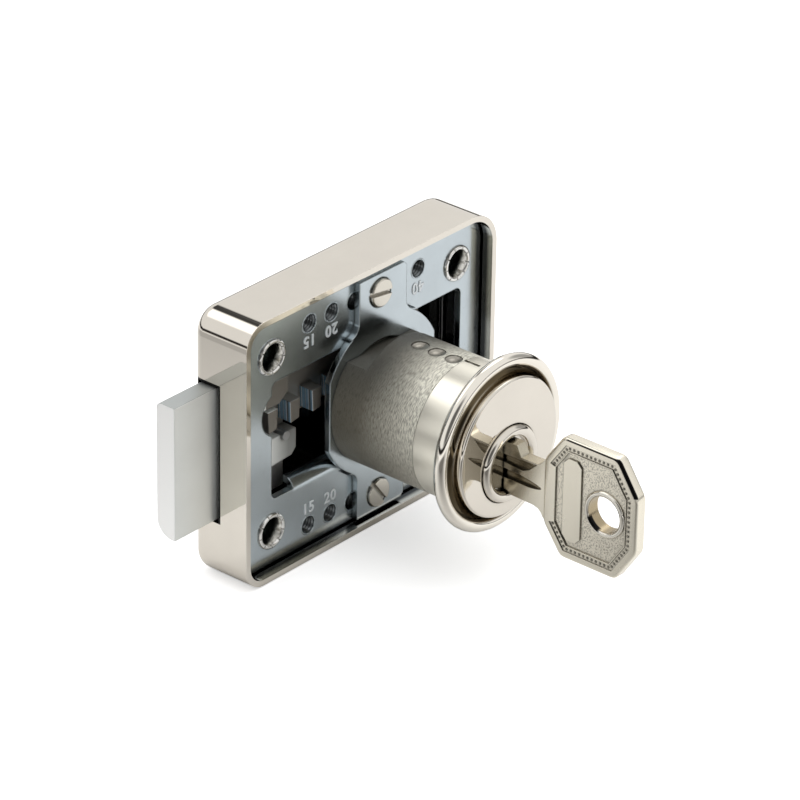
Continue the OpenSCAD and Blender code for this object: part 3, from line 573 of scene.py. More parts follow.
def hole_cards(tree):
    """Two dark crescents on the ring hole's rim, where it mirrors black cards."""
    unit, radius = from_hole(tree)
    total = 0.0
    for aim, turn, reach in HOLE_CARDS:
        along = vector(tree, "DOT_PRODUCT", unit, aim).outputs["Value"]
        crescent = product(tree, remap(tree, along, cos(radians(turn)), cos(radians(turn - 8))),
                           between(tree, radius, reach + FADE, reach))
        total = math(tree, "MAXIMUM", total, crescent)
    return product(tree, total, past(tree, "X", -0.50, -0.65))


print("key: 6 masks")

# %% [markdown]
# One function makes every metal. It starts from a colour with faint clouds, adds grain or
# turned lines, lays painted marks over them, most of them painted shade, light and
# reflections, and paints shade into inner corners. The Bevel node rounds the edges in the
# shading, because no press or mill leaves a razor edge.

# %% Metals
CORNER_SHADE = (0.05, 0.045, 0.035, 1)
SPECK = (0.12, 0.11, 0.10, 1)
OPEN_CORNER, RELIEF = 0.90, 0.02
LINE_FROM, LINE_TO, FINE_SHARE = 0.44, 0.60, 0.4
CLOUD_LOW, CLOUD_HIGH = 0.3, 0.7
PIT_SHADE, PIT_DEPTH = 0.56, -3.0


def dimmed(colour, level):
    """A colour made darker or lighter, as the four values that a socket takes."""
    return tuple(min(1, c * level) for c in colour) + (1,)


def metal(name, colour, rough, spread=0.05, grain=9000.0, bump=0.04, tint=0.06, turned=False,
          line_tint=0.15, edge=0.12, specks=0.0, painted_marks=(), corner_darkness=0.6, reach=0.8, deep=0.30,
          dull=None, stipple=None, metallic=1.0):
    """A plated or bare metal. turned adds a lathe's lines and line_tint darkens them, specks
    is how strong the specks are, painted_marks are pairs of a mask and the colour that it
    brings, most of them painted shade, light and reflections, corner_darkness and reach paint
    shade into the corners, deep is the openness where a corner is darkest, dull is a mask with
    its roughness, and stipple is the mask of a pitted field."""
    material = bpy.data.materials.new(name)
    material.use_nodes = True
    tree = material.node_tree
    tree.nodes.clear()
    surface = use_group(tree, grain_group, Grain=grain)
    base = blend(tree, surface.outputs["Cloud"], dimmed(colour, 1 - tint), dimmed(colour, 1 + tint))
    height = surface.outputs["Fine"]
    if turned:
        streak = use_group(tree, turned_group).outputs["Lines"]
        streak = remap(tree, streak, LINE_FROM, LINE_TO)
        base = blend(tree, streak, base, dimmed(colour, 1 - line_tint))
        height = math(tree, "MULTIPLY_ADD", height, FINE_SHARE, streak)
    if specks:
        base = blend(tree, product(tree, surface.outputs["Speck"], specks), base, SPECK)
    # The masks laid here paint colour over the base; most are painted shade, light and reflections.
    for mask, mark_colour in painted_marks:
        base = blend(tree, mask(tree), base, mark_colour + (1,))
    # Inner corners are painted darker by how hidden they are, a painted shade.
    corner = add(tree, "ShaderNodeAmbientOcclusion", {"Distance": reach * MM}, samples=6)
    corner_shading = remap(tree, corner.outputs["AO"], OPEN_CORNER, deep, 0.0, corner_darkness)
    base = blend(tree, corner_shading, base, CORNER_SHADE)
    roughness = remap(tree, surface.outputs["Cloud"], CLOUD_LOW, CLOUD_HIGH,
                      rough - spread, rough + spread)
    if dull:
        mask, dulled = dull
        roughness = remap(tree, mask(tree), 0.0, 1.0, roughness, dulled)
    if stipple:
        pits = use_group(tree, stipple_group).outputs["Pits"]
        pitted = product(tree, stipple(tree), pits)
        # The pits are painted darker than the field round them, a painted shade in each pit.
        base = blend(tree, pitted, base, dimmed(colour, PIT_SHADE))
        height = math(tree, "MULTIPLY_ADD", pitted, PIT_DEPTH, height)
    soft = add(tree, "ShaderNodeBevel", {"Radius": edge * MM}, samples=6)
    relief = add(tree, "ShaderNodeBump", {"Strength": bump, "Distance": RELIEF * MM,
                                          "Height": height, "Normal": soft.outputs[0]})
    shader = add(tree, "ShaderNodeBsdfPrincipled", {
        "Base Color": base, "Metallic": metallic, "Roughness": roughness,
        "Normal": relief.outputs[0]})
    add(tree, "ShaderNodeOutputMaterial", {"Surface": shader.outputs[0]})
    return material


print("metals can be made")

# %% [markdown]
# The finishes. The case, the cylinder's front and the key are nickel-plated, which is warm
# against the bluish zinc of the plates. The bolt is die-cast zinc and duller. The barrel
# is turned and left matt. Small pieces get a finish of their own where they look different:
# the key's beads and the tapped threads are painted dark as shade, and the raised numbers are
# painted lighter as a highlight.

# %% Finishes
# Painted shade for the tray's inner sides.
TRAY_SHADE = (0.08, 0.08, 0.08)
# Painted black: the shade in the bolt's slit, and the black cards that the key mirrors.
PAINTED_BLACK = (0.01, 0.01, 0.01)
# A darker colour for the groove round the round face.
GROOVE_DARK = (0.12, 0.09, 0.05)
METALS = {
    "polished_nickel": dict(
        colour=(0.80, 0.75, 0.67), rough=0.045, spread=0.015, bump=0.02,
        painted_marks=[(groove_darkening, GROOVE_DARK), (case_inside, TRAY_SHADE), (bolt_gap, PAINTED_BLACK)]),
    # The sleeve's turned side is rougher, and its colour is painted lighter as a painted highlight.
    "sleeve_nickel": dict(
        colour=(0.80, 0.75, 0.67), rough=0.045, spread=0.015, bump=0.02,
        painted_marks=[(groove_darkening, GROOVE_DARK), (sleeve_side, (1.0, 0.96, 0.84))],
        dull=(sleeve_side, 0.30)),
    "zinc_plate": dict(
        colour=(0.57, 0.63, 0.66), rough=0.20, spread=0.07, bump=0.12, tint=0.18, specks=0.15,
        edge=0.3),
    "bright_nickel": dict(
        colour=(0.93, 0.88, 0.79), rough=0.045, spread=0.015, bump=0.02,
        painted_marks=[(groove_darkening, GROOVE_DARK)]),
    "cast_bolt": dict(
        colour=(0.90, 0.92, 0.89), rough=0.40, grain=5000.0, bump=0.35,
        painted_marks=[(bolt_end, (1.0, 1.0, 0.98)), (bolt_hidden, (0.20, 0.20, 0.19)),
                (rack_flank, (0.12, 0.11, 0.10)), (rack_blue, (0.26, 0.42, 0.56)),
                (rack_bright, (0.85, 0.93, 0.98)), (rack_front, (0.26, 0.24, 0.21)),
                (bolt_top, (0.46, 0.48, 0.47))],
        edge=0.35, corner_darkness=0.8, deep=0.4, metallic=0.6),
    "matte_nickel": dict(
        colour=(1.0, 0.95, 0.82), rough=0.38, turned=True, bump=1.0, line_tint=0.55,
        metallic=0.42,
        painted_marks=[(barrel_shade, (0.16, 0.145, 0.11)), (barrel_low, (0.20, 0.18, 0.14)),
                (barrel_top, (0.06, 0.06, 0.055))]),
    "brass": dict(colour=(0.72, 0.55, 0.25), rough=0.3),
    "steel": dict(colour=(0.42, 0.42, 0.42), rough=0.3),
    "satin_nickel": dict(colour=(0.74, 0.70, 0.62), rough=0.22, grain=6000.0, bump=0.15),
    "key_nickel": dict(
        colour=(0.92, 0.865, 0.735), rough=0.24, grain=6000.0, bump=0.12, edge=0.08, corner_darkness=0.95,
        reach=0.6, deep=0.5, stipple=key_field,
        painted_marks=[(blade_shade, (0.34, 0.30, 0.21)), (blade_groove, (0.25, 0.21, 0.14)),
                (key_slit, PAINTED_BLACK), (hole_wall, (0.46, 0.38, 0.25)),
                (hole_cards, PAINTED_BLACK)]),
    "rim_nickel": dict(
        colour=(0.92, 0.88, 0.79), rough=0.08, spread=0.02, bump=0.05,
        painted_marks=[(hole_cards, PAINTED_BLACK)]),
    # The beads are the key's nickel, painted dark as shade.
    "bead_nickel": dict(colour=(0.34, 0.32, 0.27), rough=0.20, corner_darkness=0.9, reach=0.5),
    # The threads are the plate's zinc, painted dark as the shade inside the holes.
    "thread_zinc": dict(colour=(0.24, 0.26, 0.27), rough=0.25, corner_darkness=0.95, reach=1.2),
    "plug_discs": dict(colour=(0.34, 0.32, 0.28), rough=0.34, bump=0.3),
    # The raised numbers are the plate's zinc, painted lighter as a highlight.
    "zinc_relief": dict(
        colour=(0.84, 0.88, 0.90), rough=0.30, bump=0.1, edge=0.05, corner_darkness=0.3, reach=0.2,
        metallic=0.35),
    "eyelet_nickel": dict(
        colour=(0.86, 0.85, 0.82), rough=0.16, grain=6000.0, bump=0.15, corner_darkness=0.4, reach=0.4,
        painted_marks=[(bore_shade, (0.26, 0.28, 0.27))]),
}
FINISH = {name: metal(name, **values) for name, values in METALS.items()}
for subpart in frame["record"]["subparts"]:
    node = nodes[subpart["node"]]
    node.data.materials.clear()
    node.data.materials.append(FINISH[subpart["material_slot"]])
print("finishes:", sorted(FINISH))

# %% [markdown]
# Turned parts. A sleeve, a ring or a screw head is a profile spun round an axis, as on a
# lathe. The profile is a short chain of points, and `arc` gives its rounded stretches.
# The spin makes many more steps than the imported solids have, so polished beads stay round.

# %% Turning
def arc(r, y, radius, start, stop, count=8):
    """Points (radius, Y) on an arc round (r, y); angles in degrees from outwards to +Y."""
    turns = [radians(start + (stop - start) * i / count) for i in range(count + 1)]
    return [(r + radius * cos(t), y + radius * sin(t)) for t in turns]


def lathe(bm, profile, x=0.0, z=0.0, steps=128):
    """Spins a chain of (radius, Y) points in mm once round the Y direction."""
    chain = [bm.verts.new(((x + r) * MM, y * MM, z * MM)) for r, y in profile]
    edges = [bm.edges.new(pair) for pair in zip(chain, chain[1:])]
    bmesh.ops.spin(bm, geom=chain + edges, cent=(x * MM, 0, z * MM), axis=(0, 1, 0),
                   angle=2 * pi, steps=steps, use_merge=True)
    bmesh.ops.remove_doubles(bm, verts=bm.verts, dist=1e-7)
    bmesh.ops.recalc_face_normals(bm, faces=bm.faces)


def as_object(bm, name):
    """Puts a bmesh into the scene as an object."""
    mesh = bpy.data.meshes.new(name)
    bm.to_mesh(mesh)
    bm.free()
    piece = bpy.data.objects.new(name, mesh)
    scene.collection.objects.link(piece)
    return piece


def turned_piece(name, profile, x=0.0, z=0.0, steps=128):
    """A new object from one spun profile."""
    bm = bmesh.new()
    lathe(bm, profile, x, z, steps)
    return as_object(bm, name)


print("lathe ready")

# %% [markdown]
# Slots and holes off the axis are cut afterwards, as a mill or a drill would. The tool is a
# shape of its own, and a Boolean modifier takes it away from the piece or joins it on.

# %% Cutting
def combine(piece, bm, operation="DIFFERENCE"):
    """Cuts a bmesh from a piece, or joins it on, and frees it."""
    tool = as_object(bm, "tool")
    step = piece.modifiers.new("cut", "BOOLEAN")
    step.operation = operation
    step.solver = "EXACT"
    step.object = tool
    view = bpy.context.evaluated_depsgraph_get()
    result = bpy.data.meshes.new_from_object(piece.evaluated_get(view))
    piece.modifiers.clear()
    old = piece.data
    piece.data = result
    result.name = old.name
    bpy.data.meshes.remove(old)
    bpy.data.objects.remove(tool)


def box(bm, low, high):
    """A block from its lowest to its highest corner, in mm."""
    made = bmesh.ops.create_cube(bm, size=1)
    bmesh.ops.scale(bm, vec=[(b - a) * MM for a, b in zip(low, high)], verts=made["verts"])
    bmesh.ops.translate(bm, vec=[(a + b) / 2 * MM for a, b in zip(low, high)],
                        verts=made["verts"])


def cut_box(piece, low, high):
    bm = bmesh.new()
    box(bm, low, high)
    combine(piece, bm)


print("cutting ready")

# %% [markdown]
# Every piece ends the same way: its edges are rounded where a real one's would catch the
# light, it gets its finish, and it's told which body of the lock it moves with. The imported
# solids that it stands for are hidden.

# %% Finishing a piece
def finish_piece(piece, body, finish, replaced=(), edge=0.0, angle=32):
    """Rounds a piece's edges, smooths it, paints it and lets it ride on a body."""
    if edge:
        bevel = piece.modifiers.new("edges", "BEVEL")
        bevel.width = edge * MM
        bevel.segments = 2
        bevel.limit_method = "ANGLE"
        bevel.angle_limit = radians(angle)
        bevel.harden_normals = False
        bevel.use_clamp_overlap = True
    piece.data.materials.clear()
    piece.data.materials.append(FINISH[finish])
    piece.data.shade_smooth()
    piece.data.set_sharp_from_angle(angle=radians(angle))
    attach(piece, body)
    if replaced:
        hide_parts(*replaced)
    print(piece.name, "-", len(piece.data.vertices), "points")


print("pieces can be finished")

# %% [markdown]
# The rosette is the ring that covers the hole's edge in the door. It's turned, and its bead
# is nearly a full circle in section. Inside it the sleeve's flange forms a deep hollow
# groove, and then the round face stands proud.

# %% Rosette
BEAD_AT, BEAD_R = (13.25, -22.45), 1.05
RING_IN, RING_BACK, FLANGE_Y = 11.17, -21.1, -21.6
profile = [(RING_IN, RING_BACK), (RING_IN, FLANGE_Y), (12.2, FLANGE_Y)]
profile += arc(*BEAD_AT, BEAD_R, 180, 450, 48)
profile += [(BEAD_AT[0], RING_BACK), (RING_IN, RING_BACK)]
ring = turned_piece("rosette_ring", profile, steps=200)
finish_piece(ring, "lock", "bright_nickel", ["rosette"])

# %% [markdown]
# The front sleeve is one turned piece: a thin tube over the barrel's front, a flange under
# the rosette, and the raised round face. The plug's hole is off centre, so no spin can
# make it and it's cut afterwards, like the notch in the tube's rear edge.

# %% Front sleeve and round face
FACE_Y, FACE_BACK, FACE_R, LIP_R = -24.84, -23.92, 11.3, 0.35
FLANGE_R, FLANGE_BACK = 12.15, -21.62
TUBE_R, TUBE_END, CHAMFER = 10.63, -15.1, 0.06
PLUG_Z, PLUG_BORE = -2.67, 6.42
profile = [(0, FACE_Y), (10.9, FACE_Y)] + arc(10.95, FACE_Y + LIP_R, LIP_R, 270, 360, 6)
profile += [(FACE_R, -23.7)] + arc(12.5, -23.7, 1.2, 180, 107, 12)
profile += [(FLANGE_R, FLANGE_BACK), (BARREL_R, FLANGE_BACK), (BARREL_R, TUBE_END - CHAMFER),
            (BARREL_R - CHAMFER, TUBE_END), (TUBE_R, TUBE_END), (TUBE_R, FACE_BACK),
            (0, FACE_BACK)]
sleeve = turned_piece("sleeve_face", profile, steps=200)
bm = bmesh.new()
lathe(bm, [(0, -26), (PLUG_BORE, -26), (PLUG_BORE, -23), (0, -23)], z=PLUG_Z)
combine(sleeve, bm)
cut_box(sleeve, (0.5, -18.0, 10), (1.1, -15.0, 12))
finish_piece(sleeve, "lock", "sleeve_nickel", ["front_sleeve"])

# %% [markdown]
# The chamber plugs. Five holes are drilled down into the barrel for the pins and their
# springs, and a small disc is pressed into each to close it. The press leaves a shallow
# dish. One profile is spun for each disc, laid over and moved along the barrel.

# %% Chamber plugs
CHAMBERS, DISC_REACH = [-7.0 - 3.3 * i for i in range(5)], 1.4
disc = [(0, 10.55), (0.55, 10.58), (1.0, 10.7), (1.25, 10.88), (1.33, 10.90), (1.36, 10.86),
        (1.36, 9.6), (0, 9.6)]
bm = bmesh.new()
for chamber in CHAMBERS:
    lathe(bm, disc, steps=48)
    made = [v for v in bm.verts if max(abs(v.co.x), abs(v.co.z)) < DISC_REACH * MM]
    bmesh.ops.rotate(bm, verts=made, cent=(0, 0, 0), matrix=Matrix.Rotation(radians(90), 3, "X"))
    bmesh.ops.translate(bm, verts=made, vec=(0, chamber * MM, 0))
bmesh.ops.recalc_face_normals(bm, faces=bm.faces)
finish_piece(as_object(bm, "dished_plugs"), "lock", "plug_discs", ["chamber_plugs"])

# %% [markdown]
# The plug is what the key turns. It's one turned bar with a raised, rounded collar at its
# front, a groove for the clip at its rear, and a thin tail for the wheel. The keyway is
# a straight slot through it, with a shallow notch on one side, low down at the front.

# %% Plug
PLUG_FRONT, PLUG_R, TAIL_R = -24.54, 6.0, 1.7
COLLAR_AT, COLLAR_R = (5.33, -24.84), 0.92
profile = [(0, PLUG_FRONT), (COLLAR_AT[0] - COLLAR_R, PLUG_FRONT)]
profile += arc(*COLLAR_AT, COLLAR_R, 180, 360, 28)
profile += [(6.25, -23.45), (PLUG_R, -23.45), (PLUG_R, 2.6), (5.2, 2.6), (5.2, 3.1), (5.9, 3.1),
            (5.9, 3.3), (TAIL_R, 3.3), (TAIL_R, 6.0), (0, 6.0)]
plug = turned_piece("plug_dressed", profile, z=PLUG_Z, steps=160)
cut_box(plug, (-1.05, -27, -7.35), (1.05, -2.1, 0.52))
cut_box(plug, (-1.32, -27, -7.3), (-1.0, -20, -4.95))
finish_piece(plug, "plug", "polished_nickel", ["plug"], angle=25)

# %% [markdown]
# The eyelets. Each is a tube through which a mounting screw goes, and it holds the plate in
# the case. Its rim is rolled over the plate, and the roll cracks into short petals.
# The tube is spun with its rim, and every sixteenth row of points is then pushed back.

# %% Eyelets
EYELETS_X, EYELET_Z, ROWS = (-23.5, 19.2), 14.85, 144
RIM_END, CRACK_D, CRACK_EVERY, CRACK_FIRST = 2.1, 0.28, 16, 3
eyelet = [(1.9, 10.6), (1.9, 3.4), (1.95, 3.1), (2.15, 2.5)] + arc(2.6, 2.12, 0.36, 200, 360, 10)
eyelet += [(2.96, 2.2), (2.5, 2.2), (2.5, 3.4), (2.85, 3.4), (2.85, 9.5), (3.3, 9.5),
           (3.3, 10.0), (2.5, 10.0), (2.5, 11.0), (2.3, 11.0), (1.9, 10.6)]
bm = bmesh.new()
for x in EYELETS_X:
    for z in (-EYELET_Z, EYELET_Z):
        lathe(bm, eyelet, x, z, steps=ROWS)
for vert in bm.verts:
    if vert.co.y < RIM_END * MM:
        x = vert.co.x - EYELETS_X[vert.co.x > 0] * MM
        z = vert.co.z - (EYELET_Z if vert.co.z > 0 else -EYELET_Z) * MM
        row = round((atan2(z, x) + pi) / (2 * pi) * ROWS)
        if row % CRACK_EVERY == CRACK_FIRST:
            vert.co.y += CRACK_D * MM
finish_piece(as_object(bm, "rolled_eyelets"), "lock", "eyelet_nickel", ["mounting_eyelets"])

# %% [markdown]
# The carrier screws are cheese-head screws: a turned head with a milled slot. The slots
# point in different directions, because nobody lines them up when the screws are tight.

# %% Carrier screws
SCREW_Y, ROW_Z, HEAD_R, HEAD_EDGE = 0.6, 17.3, 2.35, 0.25
SLOT_HALF, SLOT_D = 0.35, 0.6
head = [(0, SCREW_Y), (HEAD_R - HEAD_EDGE, SCREW_Y)]
head += arc(HEAD_R - HEAD_EDGE, SCREW_Y + HEAD_EDGE, HEAD_EDGE, 270, 360, 5)
head += [(HEAD_R, 1.6), (1.4, 1.6), (1.4, 5.0), (1.2, 5.2), (0, 5.2)]
for name, z, turn in (("screw_upper", ROW_Z, 8), ("screw_lower", -ROW_Z, 52)):
    screw = turned_piece(name, head, z=z, steps=72)
    bm = bmesh.new()
    box(bm, (-3, SCREW_Y - 1, -SLOT_HALF), (3, SCREW_Y + SLOT_D, SLOT_HALF))
    bmesh.ops.rotate(bm, verts=bm.verts, cent=(0, 0, 0),
                     matrix=Matrix.Rotation(radians(turn), 3, "Y"))
    bmesh.ops.translate(bm, verts=bm.verts, vec=(0, 0, z * MM))
    combine(screw, bm)
    finish_piece(screw, "lock", "satin_nickel", ["carrier_screws"], edge=0.05)

# %% [markdown]
# The plate's holes are tapped, so each gets a thread, which is a zigzag profile spun round
# the hole. Punching raises a narrow collar round each hole, which catches the light.

# %% Threads and collars
PLATE_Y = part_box("base_plate")[0].y / MM
HOLES_X, TAP_R, TAP_PITCH = (-15, -10, -5, 10), 1.46, 0.25
thread = [(TAP_R - 0.22 * (i % 2), PLATE_Y + TAP_PITCH + TAP_PITCH * i) for i in range(13)]
thread += [(TAP_R + 0.05, thread[-1][1]), (TAP_R + 0.05, thread[0][1]), thread[0]]
collar = [(TAP_R - 0.03, PLATE_Y + 0.15), (TAP_R - 0.03, PLATE_Y - 0.03),
          (TAP_R + 0.12, PLATE_Y - 0.08), (TAP_R + 0.27, PLATE_Y + 0.02),
          (TAP_R + 0.27, PLATE_Y + 0.15), (TAP_R - 0.03, PLATE_Y + 0.15)]
for name, profile, finish in (("tapped_holes", thread, "thread_zinc"),
                              ("hole_collars", collar, "zinc_plate")):
    bm = bmesh.new()
    for x in HOLES_X:
        for z in (-ROW_Z, ROW_Z):
            lathe(bm, profile, x, z, steps=40)
    finish_piece(as_object(bm, name), "lock", finish)

# %% [markdown]
# The numbers beside the holes give their backset, which is the distance from the door's
# edge to the cylinder. A die presses them up from the plate, so their edges are soft. Text
# with a small bevel gives that form. The upper ones stand on their heads.

# %% Numbers
DIGIT_SIZE, DIGIT_HALF, DIGIT_EDGE = 2.6, 0.05, 0.07
NUMBERS = [("15", -15, -14.4, 0), ("20", -10, -14.4, 0), ("15", -15, 14.4, 180),
           ("20", -10, 14.4, 180), ("40", 10, 14.2, 180)]


def stamp(text, x, z, turn):
    """Raised digits on the plate, turned about the Y direction."""
    curve = bpy.data.curves.new("digits", "FONT")
    curve.body, curve.align_x, curve.align_y = text, "CENTER", "CENTER"
    curve.size, curve.extrude, curve.space_character = DIGIT_SIZE * MM, DIGIT_HALF * MM, 1.1
    curve.bevel_depth, curve.bevel_resolution = DIGIT_EDGE * MM, 1
    drawn = bpy.data.objects.new("digits", curve)
    scene.collection.objects.link(drawn)
    view = bpy.context.evaluated_depsgraph_get()
    mesh = bpy.data.meshes.new_from_object(drawn.evaluated_get(view))
    bpy.data.objects.remove(drawn)
    mesh.transform(Matrix.Translation((x * MM, PLATE_Y * MM, z * MM))
                   @ Matrix.Rotation(radians(turn), 4, "Y") @ Matrix.Rotation(radians(90), 4, "X"))
    return mesh


bm = bmesh.new()
for number in NUMBERS:
    bm.from_mesh(stamp(*number))
finish_piece(as_object(bm, "numbers"), "lock", "zinc_relief")

# %% [markdown]
# The key is stamped from strip brass and nickel-plated. All its forms are outlines with a
# depth, so a few functions that give outlines build the whole of it. The bow has eight
# sides, and `bow_ring` moves them inwards by any distance, for its border and channel.

# %% Key outlines
def extrude_outline(bm, rings, shift):
    """Fills rings of points (outer first, then holes) and gives them a thickness."""
    edges = []
    for ring in rings:
        corners = [bm.verts.new(point) for point in ring]
        edges += [bm.edges.new(pair) for pair in zip(corners, corners[1:] + corners[:1])]
    filled = bmesh.ops.triangle_fill(bm, use_beauty=True, edges=edges)
    faces = [item for item in filled["geom"] if isinstance(item, bmesh.types.BMFace)]
    grown = bmesh.ops.extrude_face_region(bm, geom=faces)
    top = [item for item in grown["geom"] if isinstance(item, bmesh.types.BMVert)]
    bmesh.ops.translate(bm, verts=top, vec=shift)
    bmesh.ops.recalc_face_normals(bm, faces=bm.faces)


def leg(a, b, inset):
    """The length of a cut corner's side a after all the sides have moved inwards."""
    return a - inset * (b + a - sqrt(a * a + b * b)) / b


def bow_ring(inset):
    """The bow's eight corners as (Y, Z), moved in by a distance."""
    u, v = BOW_HALF[0] - inset, BOW_HALF[1] - inset
    n, m = leg(*NEAR, inset), leg(NEAR[1], NEAR[0], inset)
    f, g = leg(*FAR, inset), leg(FAR[1], FAR[0], inset)
    corners = [(u, v - m), (u - n, v), (f - u, v), (-u, v - g), (-u, g - v),
               (f - u, -v), (u - n, -v), (u, m - v)]
    return [(BOW_AT[0] + y, BOW_AT[1] + z) for y, z in corners]


def soften(ring, reach, count=5):
    """Replaces each corner of a ring by a short curve."""
    curve = []
    for before, corner, after in zip(ring[-1:] + ring[:-1], ring, ring[1:] + ring[:1]):
        before, corner, after = Vector(before), Vector(corner), Vector(after)
        start = corner + (before - corner).normalized() * reach
        stop = corner + (after - corner).normalized() * reach
        for i in range(count + 1):
            t = i / count
            point = start * (1 - t) ** 2 + corner * 2 * t * (1 - t) + stop * t * t
            curve.append(tuple(point))
    return curve


def circle_ring(y, z, radius, count=64):
    """A circle as points (Y, Z)."""
    turns = [2 * pi * i / count for i in range(count)]
    return [(y + radius * cos(t), z + radius * sin(t)) for t in turns]


def key_slab(bm, rings, x0, x1):
    """Rings of (Y, Z) points in mm, from x0 to x1."""
    placed = [[(x0 * MM, y * MM, z * MM) for y, z in ring] for ring in rings]
    extrude_outline(bm, placed, ((x1 - x0) * MM, 0, 0))


def rounded_slab(bm, half, radius, steps=5):
    """Lofts the bow's outline from side to side, with both rims rounded."""
    turns = [pi / 2 * i / steps for i in range(steps, -1, -1)]
    near = [(radius * (1 - sin(t)) - half, radius * (1 - cos(t))) for t in turns]
    rings = []
    for x, inset in near + [(-x, inset) for x, inset in near[::-1]]:
        outline = soften(bow_ring(inset), 0.8)
        rings.append([bm.verts.new((x * MM, y * MM, z * MM)) for y, z in outline])
    for first, second in zip(rings, rings[1:]):
        for i in range(len(first)):
            bm.faces.new((first[i - 1], first[i], second[i], second[i - 1]))
    bm.faces.new(rings[0])
    bm.faces.new(rings[-1])
    bmesh.ops.recalc_face_normals(bm, faces=bm.faces)


def use_slab(piece, rings, x0, x1, operation="DIFFERENCE"):
    """Cuts a slab from the key, or joins it on."""
    bm = bmesh.new()
    key_slab(bm, rings, x0, x1)
    combine(piece, bm, operation)


print("bow corners:", [tuple(round(v, 1) for v in corner) for corner in bow_ring(0)])

# %% [markdown]
# The bow is a plate with rounded rims. A die presses a shallow channel round it and a
# deeper field inside, and leaves a smooth panel and the ring hole's rim standing. Both
# faces are the same, so the cuts are made once for each side.

# %% Key bow
OUTSIDE, EDGE_R, LINE_D, HOLE_RIM = 2, 0.45, 0.17, 3.6
PANEL_Y, PANEL_Z, PANEL_CUT = (-39.6, -36.2), (-10.9, 3.0), 0.9
(left, right), (low, high), cut = PANEL_Y, PANEL_Z, PANEL_CUT
panel = [(left, low + cut), (left + cut, low), (right - cut, low), (right, low + cut),
         (right, high - cut), (right - cut, high), (left + cut, high), (left, high - cut)]
bm = bmesh.new()
rounded_slab(bm, BOW_X, EDGE_R)
key = as_object(bm, "key_dressed")
for side in (-1, 1):
    use_slab(key, [bow_ring(1.2) + bow_ring(2.1)[::-1]], side * (BOW_X - LINE_D), side * OUTSIDE)
    use_slab(key, [bow_ring(2.25), circle_ring(*HOLE_AT, HOLE_RIM), panel],
             side * (BOW_X - FIELD_D), side * OUTSIDE)
use_slab(key, [circle_ring(*HOLE_AT, HOLE_R)], -OUTSIDE, OUTSIDE)
print("bow cut:", len(key.data.polygons), "faces")

# %% [markdown]
# The blade is one outline: its neck under the bow, the shoulder that stops it at the plug,
# the five cuts that lift the pins, and the straight lower edge. It's a little thinner than
# the bow and is joined to it.

# %% Key blade
BLADE_X, CROWN_Z = 1.0, 1.5
SEAT, NOSE, STRAIGHT_END = -24.64, -2.5, -3.7
FIRST_CUT, CUT_STEP = -0.2, 0.28
blade = [(-34.0, -8.9), (-34.0, 1.1), (-32.45, 1.1), (-32.1, 0.45), (-31.6, 0.0), (-31.1, -0.15),
         (-28.0, -0.2), (-27.1, CROWN_Z), (SEAT - 0.3, CROWN_Z), (SEAT, CROWN_Z - 0.3),
         (SEAT, 0.17), (-21.6, 0.17)]
for i, middle in enumerate(CHAMBERS[::-1]):
    top = FIRST_CUT - i * CUT_STEP
    blade += [(middle - 1.3, top), (min(middle + 1.7, STRAIGHT_END), top)]
blade += [(NOSE, -2.4), (NOSE, -5.6), (-3.9, -7.2), (-25.0, -7.2), (-30.5, -7.35),
          (-31.4, -7.6), (-32.0, -8.1), (-32.45, -8.9)]
use_slab(key, [blade], -BLADE_X, BLADE_X, "UNION")
print("blade joined:", len(blade), "corners")

# %% [markdown]
# The blade's grooves let a key pass the ribs of its own keyway. A round cutter mills them
# and lifts out before the bow, so they get shallower there. The tool's inner points are
# moved out over that stretch before the cut is made.

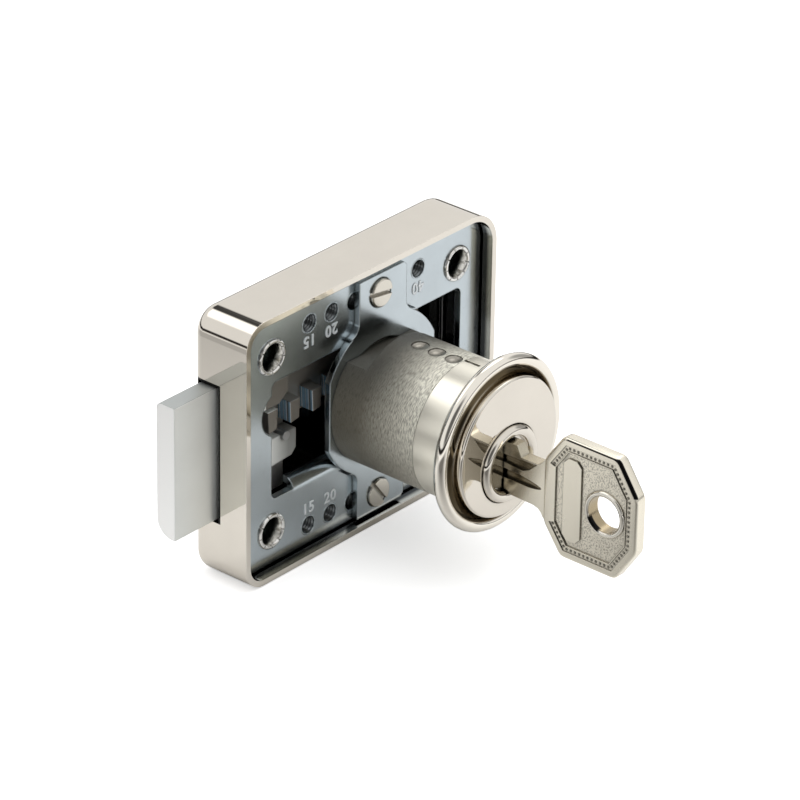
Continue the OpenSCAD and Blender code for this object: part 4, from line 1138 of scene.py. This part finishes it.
# %% Blade grooves
RUN_OUT, SHALLOW = 3, 0.25
GROOVES = [
    # outline, depth
    ([(-32.0, -4.12), (-31.75, -3.9), (-31.1, -3.68), (-29.8, -3.42), (-28.3, -3.25), (-25, -3.1),
      (-4, -3.1), (-4, -4.7), (-29.6, -4.7), (-31.0, -4.5), (-31.75, -4.3)], 0.55),
    ([(-31.0, -0.42), (-30.4, -1.0), (-29.5, -1.8), (-28.4, -2.3), (-27.0, -2.25), (-25, -2.1),
      (-21, -2.1), (-21, -0.72), (-25, -0.72), (-29.6, -0.5)], 0.40),
]
for outline, depth in GROOVES:
    bm = bmesh.new()
    key_slab(bm, [outline], -OUTSIDE, -BLADE_X + depth)
    for vert in bm.verts:
        if vert.co.x > -BLADE_X * MM:
            run = min(1, max(0, (vert.co.y / MM - outline[0][0]) / RUN_OUT))
            vert.co.x = (-BLADE_X + depth * (SHALLOW + (1 - SHALLOW) * run)) * MM
    combine(key, bm)
finish_piece(key, "key", "key_nickel", ["key"], edge=0.07)

# %% [markdown]
# A row of small round beads stands in the bow's channel. They are set along its sides at an
# even pitch, except on the side towards the blade. The beads are balls sunk into the floor.

# %% Beads
BEAD, PITCH, CHANNEL = 0.26, 0.80, 1.65
bm = bmesh.new()
ring = bow_ring(CHANNEL)
for start, stop in zip(ring, ring[1:]):
    run = Vector((0, stop[0] - start[0], stop[1] - start[1]))
    count = round(run.length / PITCH)
    for i in range(count):
        at = Vector((0, *start)) + run * ((i + 0.5) / count)
        for side in (-1, 1):
            place = at + Vector((side * (BOW_X - BEAD), 0, 0))
            bmesh.ops.create_icosphere(bm, subdivisions=2, radius=BEAD * MM,
                                       matrix=Matrix.Translation(place * MM))
finish_piece(as_object(bm, "key_beads"), "key", "bead_nickel")

# %% [markdown]
# The ring hole's rim is rounded and polished by the key ring that slides in it. It's a
# small circle spun round the hole's axis, on each face, so that only its outer half shows.

# %% Hole rim
RIM_R, RIM_POINTS, PROUD = 0.42, 20, 0.16
turns = [2 * pi * i / RIM_POINTS for i in range(RIM_POINTS)]
bm = bmesh.new()
for side in (-1, 1):
    middle = Vector((side * (BOW_X - RIM_R + PROUD), *HOLE_AT))
    loop = [bm.verts.new((middle + Vector((RIM_R * cos(t), HOLE_R + RIM_R * (1 + sin(t)), 0))) * MM)
            for t in turns]
    edges = [bm.edges.new(pair) for pair in zip(loop, loop[1:] + loop[:1])]
    bmesh.ops.spin(bm, geom=loop + edges, cent=middle * MM, axis=(1, 0, 0), angle=2 * pi,
                   steps=72, use_merge=True)
bmesh.ops.remove_doubles(bm, verts=bm.verts, dist=1e-7)
bmesh.ops.recalc_face_normals(bm, faces=bm.faces)
finish_piece(as_object(bm, "hole_rims"), "key", "rim_nickel")
